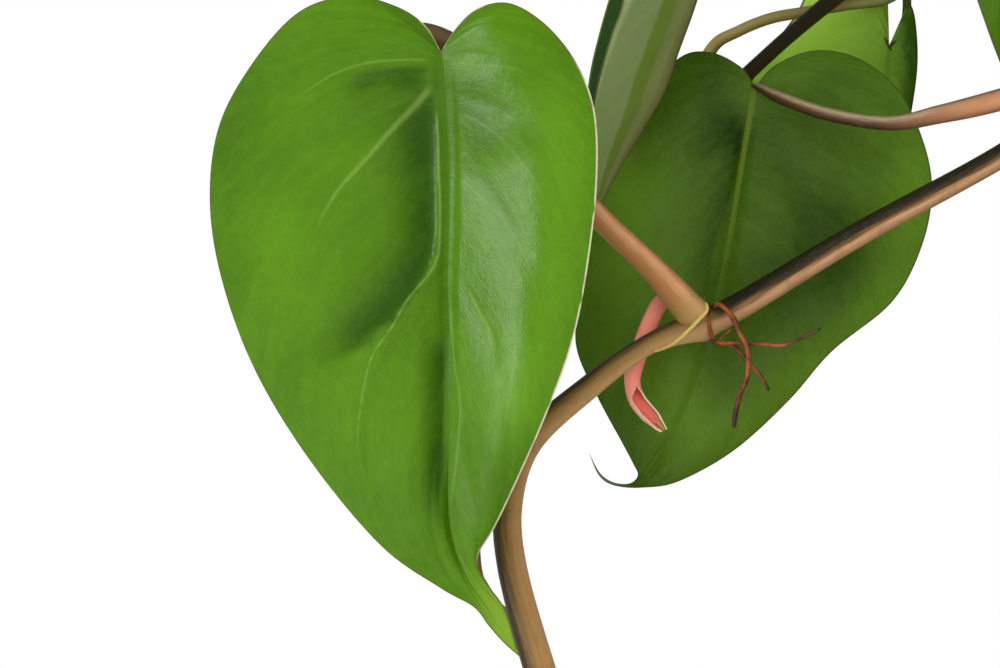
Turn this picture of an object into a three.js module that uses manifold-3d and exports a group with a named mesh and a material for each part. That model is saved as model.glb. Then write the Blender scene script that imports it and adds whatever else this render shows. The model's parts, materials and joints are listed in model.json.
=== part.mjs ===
// A potted heartleaf philodendron. A plain clay pot holds soil, and long vines root in the soil,
// arch over the rim, hang down and lie along the surface that the pot stands on. Each vine bears
// heart-shaped leaves on long stalks, and a few aerial roots.
//
// Millimetres, +Z up. The origin is the centre of the pot's foot. The leaves that set the look of
// the plant hang at -X and face -Y.
import * as THREE from 'three';
import { mergeVertices } from 'three/addons/utils/BufferGeometryUtils.js';
import Module from 'manifold-3d';

// Pot
const POT_HEIGHT = 125;
const RIM_RADIUS = 70;
const SHOULDER_RADIUS = 62;
const FOOT_RADIUS = 47;
const COLLAR_HEIGHT = 28;
const COLLAR_LIP = 3.5;
const POT_WALL = 5;
const POT_FLOOR = 7;
const POT_EDGE = 1.6;
const POT_SIDES = 36;
const DRAIN_HOLES = 3;
const DRAIN_RADIUS = 4.5;
const DRAIN_CIRCLE = 22;

// Soil
const SOIL_TOP = 112;
const SOIL_RINGS = 3;
const SOIL_UNEVENNESS = 1.6;
const ROOTED_DEPTH = 22;
const HOLE_CLEARANCE = 0.45;
const HOLE_SIDES = 12;

// Stems, stalks and blades
const CLEARANCE = 0.3;
const STEM_SIDES = 6;
const STALK_SIDES = 4;
const ROOT_SIDES = 3;
const STEM_RADIUS = 2.3;
const STEM_TIP_RADIUS = 1.5;
const BUD_RADIUS = 0.5;
const STALK_BASE_RADIUS = 1.9;
const STALK_END_RADIUS = 1.2;
const BLADE_THICKNESS = 0.9;
const BLADE_ROWS = 2;
const WIDE_BLADE_ROWS = 3;

// Heights that the routes share: a root in the soil, and a stem that lies on the surface
const ROOT_HEIGHT = SOIL_TOP - ROOTED_DEPTH;
const SOIL_EXIT = SOIL_TOP + 6;
const LYING_HEIGHT = STEM_RADIUS + 3 * CLEARANCE;

// Colours
const CLAY = { color: 0xb5694a, roughness: 0.85, metalness: 0 };
const SOIL = { color: 0x3a2a1f, roughness: 1, metalness: 0 };
const STEM = { color: 0x8a6238, roughness: 0.55, metalness: 0 };
const YOUNG_GREEN = { color: 0x5a961e, roughness: 0.35, metalness: 0 };
const DEEP_GREEN = { color: 0x2d5a19, roughness: 0.35, metalness: 0 };
const PALE_GREEN = { color: 0x77895f, roughness: 0.5, metalness: 0 };

// Stems that are set by hand, from the root to the growing tip: x, y, z and radius
const FRONT_VINE = [
  [-16, -12, ROOT_HEIGHT, 2.3],
  [-16, -12, ROOT_HEIGHT + 15, 2.3],
  [-16, -12, SOIL_EXIT, 2.3],
  [-18.5, -16, 132, 2.3],
  [-23.5, -22.5, 147, 2.3],
  [-33, -30, 158.5, 2.3],
  [-46, -36, 161.5, 2.6],
  [-62, -40, 155, 2.3],
  [-79.8, -42, 143, 2.2],
  [-103.7, -43, 130, 2.2],
  [-124.2, -44, 117.8, 2.4],
  [-131, -45, 114.5, 2.7],
  [-139.5, -46, 110.8, 2.5],
  [-149.7, -48, 103.8, 2.4],
  [-159.9, -50, 94.9, 2.4],
  [-163.5, -52, 85, 2.4],
  [-163, -54, 73.9, 2.5],
  [-158.4, -56, 56.8, 2.7],
  [-152, -59, 38, 2.7],
  [-147.5, -63.5, 22, 2.6],
  [-148, -69, 10.5, 2.4],
  [-155, -76, 4.6, 2.3],
  [-167, -84, LYING_HEIGHT, 2.2],
  [-183, -94, LYING_HEIGHT, 2.1],
  [-199, -104, LYING_HEIGHT, 1.9],
  [-214, -112, LYING_HEIGHT, 1.6],
  [-226, -117, LYING_HEIGHT + 1, BUD_RADIUS],
];
const BACK_VINE = [
  [-22, 6, ROOT_HEIGHT, 2.2],
  [-22, 6, ROOT_HEIGHT + 15, 2.2],
  [-22, 6, SOIL_EXIT, 2.2],
  [-23.5, 5.7, 135, 2.2],
  [-28, 5, 153, 2.2],
  [-38, 4, 172, 2.3],
  [-53, 2, 187, 2.3],
  [-72, 0, 192, 2.1],
  [-90, -3, 185, 2.3],
  [-106.1, -6, 171.7, 2.1],
  [-120.4, -12, 159.5, 2.1],
  [-138.8, -13, 141.7, 2.1],
  [-149.3, -14, 128.5, 2],
  [-158, -15, 113.7, 2],
  [-165, -16, 98, 2],
  [-169.7, -18, 84.1, 2],
  [-170.2, -20, 73.9, 1.9],
  [-168.3, -23, 67.5, 1.8],
  [-164.9, -25.2, 63.6, 1.8],
  [-161.6, -28, 59.4, 1.8],
  [-158.6, -30, 53, 1.9],
  [-157.2, -30.5, 42, 2],
  [-158.5, -28, 29, 2.1],
  [-163, -24, 17, 2],
  [-171, -18, 7.5, 2],
  [-184, -11, LYING_HEIGHT, 2],
  [-200, -3, LYING_HEIGHT, 2],
  [-220, 6, LYING_HEIGHT, 1.7],
  [-238, 14, LYING_HEIGHT, BUD_RADIUS],
];
const CROWN_VINE = [
  [2, 3, ROOT_HEIGHT, 2.2],
  [2, 3, ROOT_HEIGHT + 15, 2.2],
  [2, 3, SOIL_EXIT, 2.2],
  [3, 4, 136, 2.2],
  [1, 3, 156, 2.1],
  [3, 1, 178, 2],
  [1, 3, 200, 1.8],
  [2, 2, 218, BUD_RADIUS],
];

// Stalks of the leaves that face the front
const FRONT_STALK = [
  [-130.8, -45, 114.8, 2.1],
  [-139.6, -49, 124.7, 2.1],
  [-148.6, -53, 133.1, 2],
  [-157.4, -58, 143, 2],
  [-164.5, -61.5, 152.6, 2],
  [-169.4, -63, 158.4, 2],
  [-173.5, -63.5, 161.6, 2],
  [-178.3, -64, 163.2, 1.9],
  [-181, -65, 161.4, 1.8],
  [-179.4, -66.8, 158.4, 1.6],
  [-175.4, -68.45, 157.6, 1.4],
];
const BACK_STALK = [
  [-42, -34.5, 161.2, 2],
  [-60, -43.5, 158.5, 1.9],
  [-80, -46, 152.8, 1.9],
  [-90.3, -47, 150.3, 1.6],
  [-98.8, -46, 149.3, 1.3],
  [-108.8, -42, 150.8, 1.15],
  [-117, -35, 153.8, 1.15],
  [-121, -29.5, 154.7, 1.1],
];
const BEHIND_STALK = [
  [-131, -12.8, 149.2, 1.5],
  [-132, -4, 155, 1.4],
  [-128.9, 2, 164, 1.2],
  [-120.8, 1, 168, 1.1],
  [-112.1, -1, 170.2, 1.1],
  [-103.3, -2, 171.1, 1.1],
  [-98, 0, 171.8, 1.1],
  [-95, 4, 173.2, 1],
  [-93.6, 9, 174.8, 0.9],
  [-92.4, 12.8, 173.2, 0.8],
  [-92.6, 13, 168.5, 0.8],
  [-93.8, 12.2, 164.6, 0.8],
  [-95.4, 10.35, 162.2, 0.8],
];

// What grows at the node of the front vine besides its leaf
const AERIAL_ROOTS = [
  [
    [-129.5, -46, 115.5, 0.6],
    [-126.9, -49.5, 117.4, 0.5],
    [-124.9, -51, 114.5, 0.5],
    [-123.6, -52, 110, 0.45],
    [-123.9, -52, 104.4, 0.45],
    [-125.3, -53, 97.6, 0.4],
  ],
  [
    [-129.1, -46, 114, 0.6],
    [-126.9, -50, 111.5, 0.5],
    [-120.2, -50.5, 111, 0.5],
    [-115.2, -51, 111.6, 0.45],
    [-111, -52, 113.7, 0.4],
  ],
  [
    [-128, -46.5, 114, 0.6],
    [-123.1, -49.3, 108.9, 0.5],
    [-119.7, -51, 103.9, 0.4],
  ],
];
const TORN_SHEATH = [
  [-131, -44, 115, 1.4],
  [-135.5, -40, 116, 1.5],
  [-139.5, -39, 112, 1.6],
  [-142.8, -39.5, 106, 1.8],
  [-143, -40.5, 100.6, 1.9],
  [-139.5, -41, 97.4, 1.3],
  [-136.8, -41, 96, 0.5],
];

// Leaves that face the front, as ribs. Each row holds the edge point on the left, the point of
// the midrib where that pair of side veins starts, and the edge point on the right. A point is
// how far right of the notch, how far below it, and how far towards the front. For the narrow leaf
// it is how far back, how far below and how far to the left.
const FRONT_RIBS = [
  [[0, 0, 0], [0, 0, 0], [0, 0, 0]],
  [[-2.7, -4.5, -1], [0, 0, 0], [2.5, -4, -1]],
  [[-7.7, -7.7, -1.5], [0, 0, 0], [6.2, -7.3, -1.5]],
  [[-15.1, -9.3, -1.5], [0, 0, 0], [11.5, -8, -1.5]],
  [[-23.5, -6.7, -1.5], [0.4, 2.5, 0], [17.3, -4.5, -1]],
  [[-30.9, 1.3, -1.5], [0.7, 5.6, -0.3], [22.3, 1.7, -0.5]],
  [[-36.8, 12.1, -1.5], [1, 10.4, -1], [25.4, 9.6, 0]],
  [[-38.4, 24.6, -1.5], [1.4, 17.2, -1.7], [25.9, 20.5, 0]],
  [[-36.4, 37.9, -1.5], [1.4, 26.3, -2.3], [24.6, 33.8, 0]],
  [[-30.9, 52.9, -2], [1.2, 38, -2.6], [22.1, 47.1, 0]],
  [[-21.8, 67.9, -2.5], [1.4, 52, -2.4], [18.1, 58.7, -0.5]],
  [[-10.1, 82, -2.5], [1.2, 67, -2], [12.8, 70.9, -1]],
  [[-0.2, 89.1, -2], [1.4, 79, -1.5], [9.1, 78.7, -1]],
  [[5.4, 92.3, -1.5], [4.1, 87, -1], [6.1, 84.2, -1]],
  [[7.9, 95.4, -1], [7.2, 91.4, -0.5], [7.9, 88.6, -1]],
  [[10.4, 98.2, -0.5], [10, 95.6, -0.3], [10.8, 93, -0.5]],
  [[13, 100.5, 0], [13, 100.5, 0], [13, 100.5, 0]],
];
const BACK_RIBS = [
  [[0, 0, 0], [0, 0, 0], [0, 0, 0]],
  [[-2.2, -3.3, -0.5], [0, 0, 0], [3.5, -3.8, -0.5]],
  [[-7.4, -6, -1], [0, 0, 0], [10.4, -6.4, -1.5]],
  [[-12.9, -5.2, -1.5], [0, 0, 0], [18.1, -5, -2.5]],
  [[-19, 1.7, -2], [-0.7, 4, -0.2], [25, 0.5, -3]],
  [[-27.2, 14.4, -2], [-1.6, 9.2, -0.4], [29.3, 9.5, -3]],
  [[-29.8, 26.8, -2], [-2.8, 16.5, -0.6], [30.7, 18.1, -2.5]],
  [[-30.8, 39, -2.5], [-4.3, 26, -0.8], [28.8, 27.6, -1.5]],
  [[-30.6, 45.8, -2], [-6.1, 35.5, -1], [23.6, 37.1, 0]],
  [[-26.9, 54, -1.5], [-8.5, 46, -1], [13.3, 45.6, -1]],
  [[-23, 61.2, -1], [-11.6, 54.5, -1], [6, 54, -2]],
  [[-21, 65, -1], [-15, 61.7, -1], [-3.4, 62.6, -2]],
  [[-20.2, 67, -1], [-18.1, 66.5, -1], [-13, 68, -1.5]],
  [[-21.7, 68.2, -0.5], [-21.2, 68.6, -0.5], [-18.6, 69.2, -0.5]],
  [[-24.3, 67.8, 0.5], [-24.4, 68.4, 0.5], [-24.1, 69.2, 0.5]],
  [[-26.6, 66.2, 2], [-26.8, 66.8, 2], [-27.4, 67.4, 2]],
  [[-28.8, 62.8, 3.5], [-28.8, 62.8, 3.5], [-28.8, 62.8, 3.5]],
];
const BEHIND_RIBS = [
  [[0, 0, 0], [0, 0, 0], [0, 0, 0]],
  [[-1.2, -3.4, -0.5], [0, 0, 0], [2, -1.7, 0]],
  [[-0.3, -8.4, -1], [0, 0, 0], [2.9, -4.6, 0]],
  [[-4.8, -13.6, -2], [0, 0, 0], [3.4, -7.8, 0]],
  [[-12.3, -13.2, -3], [0, 1.6, -0.5], [4.6, -5, 0]],
  [[-17.4, -5.6, -3], [-0.4, 6, -1], [5.1, 2.6, -0.5]],
  [[-21.8, 3.6, -3], [-0.9, 12.2, -1], [4.2, 10.8, -1.5]],
  [[-24.2, 14.9, -3], [-1.8, 20.2, -1], [2, 22, -2]],
  [[-22, 27.2, -3], [-3, 29, -1], [-1.6, 34.3, -2]],
  [[-14.9, 40.7, -2], [-4.6, 38.8, -1], [-4.4, 42, -1.5]],
  [[-6.9, 48.7, -1], [-6.9, 48.7, -1], [-6.9, 48.7, -1]],
];
const NARROW_RIBS = [
  [[0, 0, 0], [0, 0, 0], [0, 0, 0]],
  [[-3, -4.5, 1.5], [0, 0, 0], [3, -4, 1]],
  [[-10, -6.5, 6.5], [0, 0, 0], [9, -6, 4.5]],
  [[-15.5, -1, 13.5], [0, 0, 0], [14.5, -1.5, 10.5]],
  [[-18, 9, 18], [0, 4.5, 1.2], [17, 7.5, 15.5]],
  [[-18, 18, 19.5], [0, 11, 3.1], [16.5, 17, 19]],
  [[-17, 27, 19.9], [0, 18.5, 5.1], [15, 24.5, 21.5]],
  [[-16, 33.2, 22], [0, 26.5, 6.9], [13, 31.5, 23.5]],
  [[-14, 41, 24.2], [0.3, 34.6, 9.7], [11, 38.5, 25.1]],
  [[-10, 49, 25.5], [0.5, 42.5, 13.1], [8.5, 47.5, 26.1]],
  [[-5, 56.5, 25.8], [0.5, 52.4, 18.9], [5, 56, 26.3]],
  [[0.5, 64.5, 25.5], [0.5, 64.5, 25.5], [0.5, 64.5, 25.5]],
];
const FRONT_LEAVES = [
  {
    name: 'leaf_front', notch: [-174.8, -71, 159.9], ribs: FRONT_RIBS, bulge: 3.5,
    rows: WIDE_BLADE_ROWS, finish: YOUNG_GREEN,
  },
  {
    name: 'leaf_back', notch: [-121, -28, 155.6], ribs: BACK_RIBS, bulge: 2,
    rows: WIDE_BLADE_ROWS, finish: DEEP_GREEN,
  },
  {
    name: 'leaf_behind', notch: [-95.8, 8, 164.2], ribs: BEHIND_RIBS, bulge: 1.5,
    rows: BLADE_ROWS, finish: YOUNG_GREEN,
  },
];

// The narrow leaf is folded along its midrib and seen from its side, so its upper face is turned
// to the left. It grows from this point of the back vine.
const NARROW_LEAF = { name: 'leaf_narrow', notch: [-124.5, -43, 196], at: 8, length: 66 };

// Other leaves are hearts of one pattern. This is half of its outline for a leaf 1 long: how far
// out and along each edge point lies, and how far along the midrib its side vein starts.
const HEART = [
  [0, 0, 0],
  [0.06, -0.085, 0],
  [0.2, -0.1, 0],
  [0.325, 0.035, 0.05],
  [0.355, 0.22, 0.15],
  [0.29, 0.45, 0.32],
  [0.165, 0.68, 0.54],
  [0.045, 0.87, 0.78],
  [0, 1, 1],
];

// How a heart bends, unless it says otherwise. The halves fold up and turn down at the edge, in
// parts of the length, the edge waves, and the blade arches down along its length in radians.
const HEART_FORM = { fold: 0.22, cup: 0.35, wave: 0.06, arch: 0.36 };
const WAVE_PER_RIB = 1.9;

// A heart's stalk rises from the stem and comes to the notch from behind and below, in parts of
// its own reach or of the leaf's length, and ends this far along the midrib in millimetres
const STALK_FORM = { riseAt: 0.4, riseBy: 0.16, neckBack: 0.13, neckBelow: 0.1, seatAlong: 1.5 };

// Hearts that are set by hand: point of the stem that they grow from, notch, the tip's azimuth,
// droop and roll in degrees, and length
const FRONT_VINE_HEARTS = [
  {
    name: 'leaf_front_top', at: 4, notch: [-60, -39, 201], azimuth: 200, droop: 12, length: 66,
    finish: DEEP_GREEN,
  },
  {
    name: 'leaf_front_low', at: 19, notch: [-128, -92, 42], azimuth: 262, droop: 26, length: 66,
    finish: YOUNG_GREEN,
  },
  {
    name: 'leaf_front_end', at: 23, notch: [-206, -78, 26], azimuth: 176, droop: 12, length: 56,
    finish: DEEP_GREEN,
  },
];
const BACK_VINE_HEARTS = [
  {
    name: 'leaf_corner', at: 5, notch: [-63, -11, 205], azimuth: 190, droop: 80, length: 60,
    finish: YOUNG_GREEN, roll: -88, arch: 0.2,
  },
  {
    name: 'leaf_back_top', at: 6, notch: [-74, 44, 210], azimuth: 152, droop: 12, length: 74,
    finish: DEEP_GREEN,
  },
  {
    name: 'leaf_back_low', at: 22, notch: [-176, 10, 42], azimuth: 128, droop: 24, length: 66,
    finish: DEEP_GREEN,
  },
  {
    name: 'leaf_back_end', at: 26, notch: [-218, -24, 24], azimuth: 196, droop: 10, length: 54,
    finish: YOUNG_GREEN,
  },
];

// Short upright vine in the middle, with a whorl of leaves
const CROWN = {
  leaves: 4, firstNode: 3, azimuth: 30, reach: 24, height: 236, layer: 5, droop: 10, length: 66,
};

// Trailing vines that follow one rule, evenly spaced from the front round to the back
const TRAILING_VINES = 6;
const FIRST_AZIMUTH = 249;
const AZIMUTH_STEP = 42.5;
const ROOT_CIRCLE = 26;

// Route of a trailing vine: distance from the axis and height
const TRAIL = [
  [ROOT_CIRCLE, ROOT_HEIGHT],
  [ROOT_CIRCLE, ROOT_HEIGHT + 15],
  [ROOT_CIRCLE, SOIL_EXIT],
  [ROOT_CIRCLE + 3, 134],
  [ROOT_CIRCLE + 14, 148],
  [56, 152],
  [70, 144],
  [80, 126],
  [84, 102],
  [86, 78],
  [88, 53],
  [93, 29],
  [105, 11],
  [124, LYING_HEIGHT],
  [146, LYING_HEIGHT],
  [168, LYING_HEIGHT],
  [188, LYING_HEIGHT],
];
const SWAY = { most: 3, perPoint: 0.7, from: 3, growsOver: 4 };

// Leaves of a trailing vine: point of the route, then the notch's distance from the axis, sideways
// and height, the droop in degrees, the length, and how far neighbouring vines differ in height
const TIERS = [
  { at: 3, reach: 42, aside: -4, height: 196, droop: 10, length: 70, layer: 8 },
  { at: 5, reach: 84, aside: 11, height: 168, droop: 32, length: 76, layer: 4 },
  { at: 7, reach: 106, aside: -13, height: 127, droop: 50, length: 82, layer: 0 },
  { at: 10, reach: 111, aside: 14, height: 86, droop: 52, length: 76, layer: 0 },
  { at: 13, reach: 146, aside: -16, height: 36, droop: 16, length: 62, layer: 0 },
];
const TURN_PER_ASIDE = 0.5;
const SPREAD = { reach: 2, azimuth: 5, droop: 3, roll: 6, length: 0.06 };
const YOUNG_EVERY = 3;
const SEED = 4711;

const wasm = await Module();
wasm.setup();

const plant = new THREE.Group();
const rootedAt = [];

/** Gives the plant a named piece with its own material. */
function addPiece(name, geometry, finish) {
  const mesh = new THREE.Mesh(geometry, new THREE.MeshStandardMaterial(finish));
  mesh.name = name;
  plant.add(mesh);
}

// Meshes and solids

/** Geometry with shared corners and without triangles that have no area. */
function welded(geometry) {
  const bare = geometry.clone();
  bare.deleteAttribute('normal');
  bare.deleteAttribute('uv');
  const merged = mergeVertices(bare, 1e-4);
  const corners = merged.index.array;
  const kept = [];
  for (let i = 0; i < corners.length; i += 3) {
    const [a, b, c] = [corners[i], corners[i + 1], corners[i + 2]];
    if (a !== b && b !== c && c !== a) {
      kept.push(a, b, c);
    }
  }
  merged.setIndex(kept);
  return merged;
}

/** Solid that can be joined and cut. */
function solidOf(geometry) {
  const shape = welded(geometry);
  const vertProperties = shape.attributes.position.array;
  const triVerts = Uint32Array.from(shape.index.array);
  return new wasm.Manifold(new wasm.Mesh({ numProp: 3, vertProperties, triVerts }));
}

/** Geometry of a solid. */
function geometryOf(solid) {
  const mesh = solid.getMesh();
  const geometry = new THREE.BufferGeometry();
  const corners = Float32Array.from(mesh.vertProperties);
  geometry.setAttribute('position', new THREE.BufferAttribute(corners, 3));
  geometry.setIndex(Array.from(mesh.triVerts));
  geometry.computeVertexNormals();
  return geometry;
}

/** Geometry of a list of triangles, each of three points [x, y, z]. */
function geometryFromTriangles(triangles) {
  const geometry = new THREE.BufferGeometry();
  const corners = Float32Array.from(triangles.flat(2));
  geometry.setAttribute('position', new THREE.BufferAttribute(corners, 3));
  const shape = welded(geometry);
  shape.computeVertexNormals();
  return shape;
}

/** Closed form turned round the pot's axis from [radius, height] points. */
function turned(profile, sides) {
  const points = profile.map(([radius, height]) => new THREE.Vector2(radius, height));
  return new THREE.LatheGeometry(points, sides).rotateX(Math.PI / 2);
}

/** Upright cylinder whose foot is centred on a point. */
function upright(radius, height, x, y, z) {
  const cylinder = new THREE.CylinderGeometry(radius, radius, height, HOLE_SIDES);
  return cylinder.rotateX(Math.PI / 2).translate(x, y, z + height / 2);
}

/** Closed tube through points [x, y, z, radius], with a given number of steps between two points. */
function tube(route, sides, steps) {
  const corners = route.map(([x, y, z]) => new THREE.Vector3(x, y, z));
  const line = new THREE.CatmullRomCurve3(corners, false, 'catmullrom', 0.5);
  const spans = route.length - 1;
  const rings = [];
  const side = new THREE.Vector3(0.31, 0.95, 0.05);
  for (let i = 0; i <= spans * steps; i++) {
    const place = i / steps;
    const span = Math.min(Math.floor(place), spans - 1);
    const radius = THREE.MathUtils.lerp(route[span][3], route[span + 1][3], place - span);
    const centre = line.getPoint(place / spans);
    const forward = line.getTangent(place / spans);
    side.addScaledVector(forward, -side.dot(forward)).normalize();
    const up = forward.clone().cross(side);
    const ring = [];
    for (let k = 0; k < sides; k++) {
      const turn = (2 * Math.PI * k) / sides;
      const corner = centre.clone().addScaledVector(side, radius * Math.cos(turn));
      ring.push(corner.addScaledVector(up, radius * Math.sin(turn)).toArray());
    }
    rings.push(ring);
  }
  const triangles = [];
  for (let i = 0; i < rings.length - 1; i++) {
    for (let k = 0; k < sides; k++) {
      const next = (k + 1) % sides;
      triangles.push([rings[i][k], rings[i][next], rings[i + 1][next]]);
      triangles.push([rings[i][k], rings[i + 1][next], rings[i + 1][k]]);
    }
  }
  const [first, last] = [rings[0], rings[rings.length - 1]];
  for (let k = 1; k < sides - 1; k++) {
    triangles.push([first[0], first[k + 1], first[k]]);
    triangles.push([last[0], last[k], last[k + 1]]);
  }
  return geometryFromTriangles(triangles);
}

// Blades

/** Value at a place along a list of numbers, on a smooth line through all of them. */
function smoothValue(list, place) {
  const i = Math.min(Math.floor(place), list.length - 2);
  const t = place - i;
  const [a, b] = [list[i], list[i + 1]];
  const before = i > 0 ? list[i - 1] : 2 * a - b;
  const after = i + 2 < list.length ? list[i + 2] : 2 * b - a;
  const [leave, arrive] = [(b - before) / 2, (after - a) / 2];
  const curve = (2 * a - 2 * b + leave + arrive) * t + (3 * b - 3 * a - 2 * leave - arrive);
  return (curve * t + leave) * t + a;
}

/**
 * Closed blade over surface(side, rib, out, lift), which gives [right, along, height] in the
 * leaf's own frame. A rib counts from the notch to the tip, out goes from 0 at the midrib to 1 at
 * the edge, and lift moves off the upper face. Both faces are split into the same triangles.
 */
function blade(surface, ribs, rows, frame) {
  const mirrored = frame.right.clone().cross(frame.along).dot(frame.normal) < 0;
  const triangles = [];
  const corner = (side, rib, row, face) => {
    const [right, along, height] = surface(side, rib, row / rows, -face * BLADE_THICKNESS);
    return frame.notch.clone()
      .addScaledVector(frame.right, right)
      .addScaledVector(frame.along, along)
      .addScaledVector(frame.normal, height)
      .toArray();
  };
  const addQuad = ([a, b, c, d], backwards) => {
    triangles.push(backwards ? [a, c, b] : [a, b, c]);
    triangles.push(backwards ? [a, d, c] : [a, c, d]);
  };
  for (const side of [1, -1]) {
    const flipped = (side < 0) !== mirrored;
    for (let rib = 0; rib < ribs; rib++) {
      const rim = [[rib, 0], [rib, 1], [rib + 1, 1], [rib + 1, 0]];
      addQuad(rim.map(([i, face]) => corner(side, i, rows, face)), flipped);
      for (let row = 0; row < rows; row++) {
        const patch = [[rib, row], [rib, row + 1], [rib + 1, row + 1], [rib + 1, row]];
        addQuad(patch.map(([i, j]) => corner(side, i, j, 0)), flipped);
        addQuad(patch.map(([i, j]) => corner(side, i, j, 1)), !flipped);
      }
    }
  }
  return geometryFromTriangles(triangles);
}

/** Surface through a table of ribs, each half swelling by bulge between midrib and edge. */
function ribSurface(ribs, bulge) {
  const tables = [0, 1, 2].map((place) => [0, 1, 2].map((axis) => ribs.map((row) => row[place][axis])));
  return (side, rib, out, lift) => {
    const edge = tables[side > 0 ? 2 : 0];
    const [right, along, height] = [0, 1, 2].map((axis) => (
      THREE.MathUtils.lerp(smoothValue(tables[1][axis], rib), smoothValue(edge[axis], rib), out)
    ));
    const swell = bulge * Math.sin((Math.PI * rib) / (ribs.length - 1)) * Math.sin(Math.PI * out);
    return [right, along, height + swell + lift];
  };
}

/** Surface of a heart of a length, bent by its fold, cup, wave and arch. */
function heartSurface({ length, fold, cup, wave, arch }) {
  const [outs, alongs, starts] = [0, 1, 2].map((column) => HEART.map((point) => point[column]));
  return (side, rib, out, lift) => {
    const start = Math.max(smoothValue(starts, rib), 0);
    const right = smoothValue(outs, rib) * out;
    const along = THREE.MathUtils.lerp(start, smoothValue(alongs, rib), out);
    const ripple = wave * Math.sin(WAVE_PER_RIB * rib + side) * out * out * right;
    const height = length * (fold * right - cup * right * right + ripple) + lift;
    const radius = length / arch + height;
    const bend = arch * along;
    return [side * right * length, radius * Math.sin(bend), radius * Math.cos(bend) - length / arch];
  };
}

/** Frame of a heart: notch, directions to the tip and to the right, and the upper face's normal. */
function heartFrame({ notch, azimuth, droop, roll = 0 }) {
  const [turn, dip, lean] = [azimuth, droop, roll].map(THREE.MathUtils.degToRad);
  const outwards = new THREE.Vector3(Math.cos(turn), Math.sin(turn), 0);
  const up = new THREE.Vector3(0, 0, 1);
  const along = outwards.clone().multiplyScalar(Math.cos(dip)).addScaledVector(up, -Math.sin(dip));
  const normal = outwards.clone().multiplyScalar(Math.sin(dip)).addScaledVector(up, Math.cos(dip));
  normal.applyAxisAngle(along, lean);
  return { notch: new THREE.Vector3(...notch), along, normal, right: along.clone().cross(normal) };
}

/** Route of a heart's stalk, from a point of the stem to just under the notch. */
function stalkRoute(start, frame, length) {
  const base = new THREE.Vector3(...start.slice(0, 3));
  const rise = base.clone().lerp(frame.notch, STALK_FORM.riseAt);
  rise.z += STALK_FORM.riseBy * base.distanceTo(frame.notch);
  const neck = frame.notch.clone()
    .addScaledVector(frame.along, -STALK_FORM.neckBack * length)
    .addScaledVector(frame.normal, -STALK_FORM.neckBelow * length);
  const seat = frame.notch.clone()
    .addScaledVector(frame.along, STALK_FORM.seatAlong)
    .addScaledVector(frame.normal, -(BLADE_THICKNESS + CLEARANCE + STALK_END_RADIUS));
  const middle = (STALK_BASE_RADIUS + STALK_END_RADIUS) / 2;
  const radii = [STALK_BASE_RADIUS, middle, STALK_END_RADIUS, STALK_END_RADIUS];
  return [base, rise, neck, seat].map((point, i) => [...point.toArray(), radii[i]]);
}

/** Adds a heart-shaped leaf and gives its stalk's geometry. */
function addHeart(spec, stem) {
  const frame = heartFrame(spec);
  const surface = heartSurface({ ...HEART_FORM, ...spec });
  addPiece(spec.name, blade(surface, HEART.length - 1, BLADE_ROWS, frame), spec.finish);
  return tube(stalkRoute(stem[spec.at], frame, spec.length), STALK_SIDES, 2);
}

/** Adds the leaves that face the front, from their tables of ribs. */
function addFrontLeaves() {
  const towardsFront = {
    right: new THREE.Vector3(1, 0, 0),
    along: new THREE.Vector3(0, 0, -1),
    normal: new THREE.Vector3(0, -1, 0),
  };
  for (const { name, notch, ribs, bulge, rows, finish } of FRONT_LEAVES) {
    const frame = { notch: new THREE.Vector3(...notch), ...towardsFront };
    addPiece(name, blade(ribSurface(ribs, bulge), ribs.length - 1, rows, frame), finish);
  }
}

/** Adds the narrow leaf and gives its stalk's geometry. */
function addNarrowLeaf(stem) {
  const { name, notch, at, length } = NARROW_LEAF;
  const frame = {
    notch: new THREE.Vector3(...notch),
    right: new THREE.Vector3(0, 1, 0),
    along: new THREE.Vector3(0, 0, -1),
    normal: new THREE.Vector3(-1, 0, 0),
  };
  const surface = ribSurface(NARROW_RIBS, 0);
  addPiece(name, blade(surface, NARROW_RIBS.length - 1, BLADE_ROWS, frame), PALE_GREEN);
  return tube(stalkRoute(stem[at], frame, length), STALK_SIDES, 2);
}

// Vines

/** Adds a vine: its stem and all that grows on it, joined in one solid. */
function addVine(name, stem, limbs) {
  const whole = limbs.reduce((solid, limb) => solid.add(solidOf(limb)), solidOf(tube(stem, STEM_SIDES, 1)));
  addPiece(name, geometryOf(whole), STEM);
  rootedAt.push(stem[0]);
}

/** Repeatable random numbers from -1 to 1. */
function makeRandom(seed) {
  const modulus = 2147483647;
  let state = seed;
  return () => {
    state = (state * 16807) % modulus;
    return (2 * state) / modulus - 1;
  };
}

/** Point at a distance from the pot's axis, sideways and at a height, seen along an azimuth. */
function inSector(azimuth, reach, aside, height) {
  const turn = THREE.MathUtils.degToRad(azimuth);
  const [cos, sin] = [Math.cos(turn), Math.sin(turn)];
  return [reach * cos - aside * sin, reach * sin + aside * cos, height];
}

/** Stem of a trailing vine, which sways a little from side to side. */
function trailingStem(azimuth, sway) {
  const last = TRAIL.length - 1;
  return TRAIL.map(([reach, height], i) => {
    const grown = Math.max(0, Math.min((i - SWAY.from) / SWAY.growsOver, 1));
    const aside = sway * Math.sin(SWAY.perPoint * i) * grown;
    const grownRadius = THREE.MathUtils.lerp(STEM_RADIUS, STEM_TIP_RADIUS, i / last);
    return [...inSector(azimuth, reach, aside, height), i < last ? grownRadius : BUD_RADIUS];
  });
}

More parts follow.
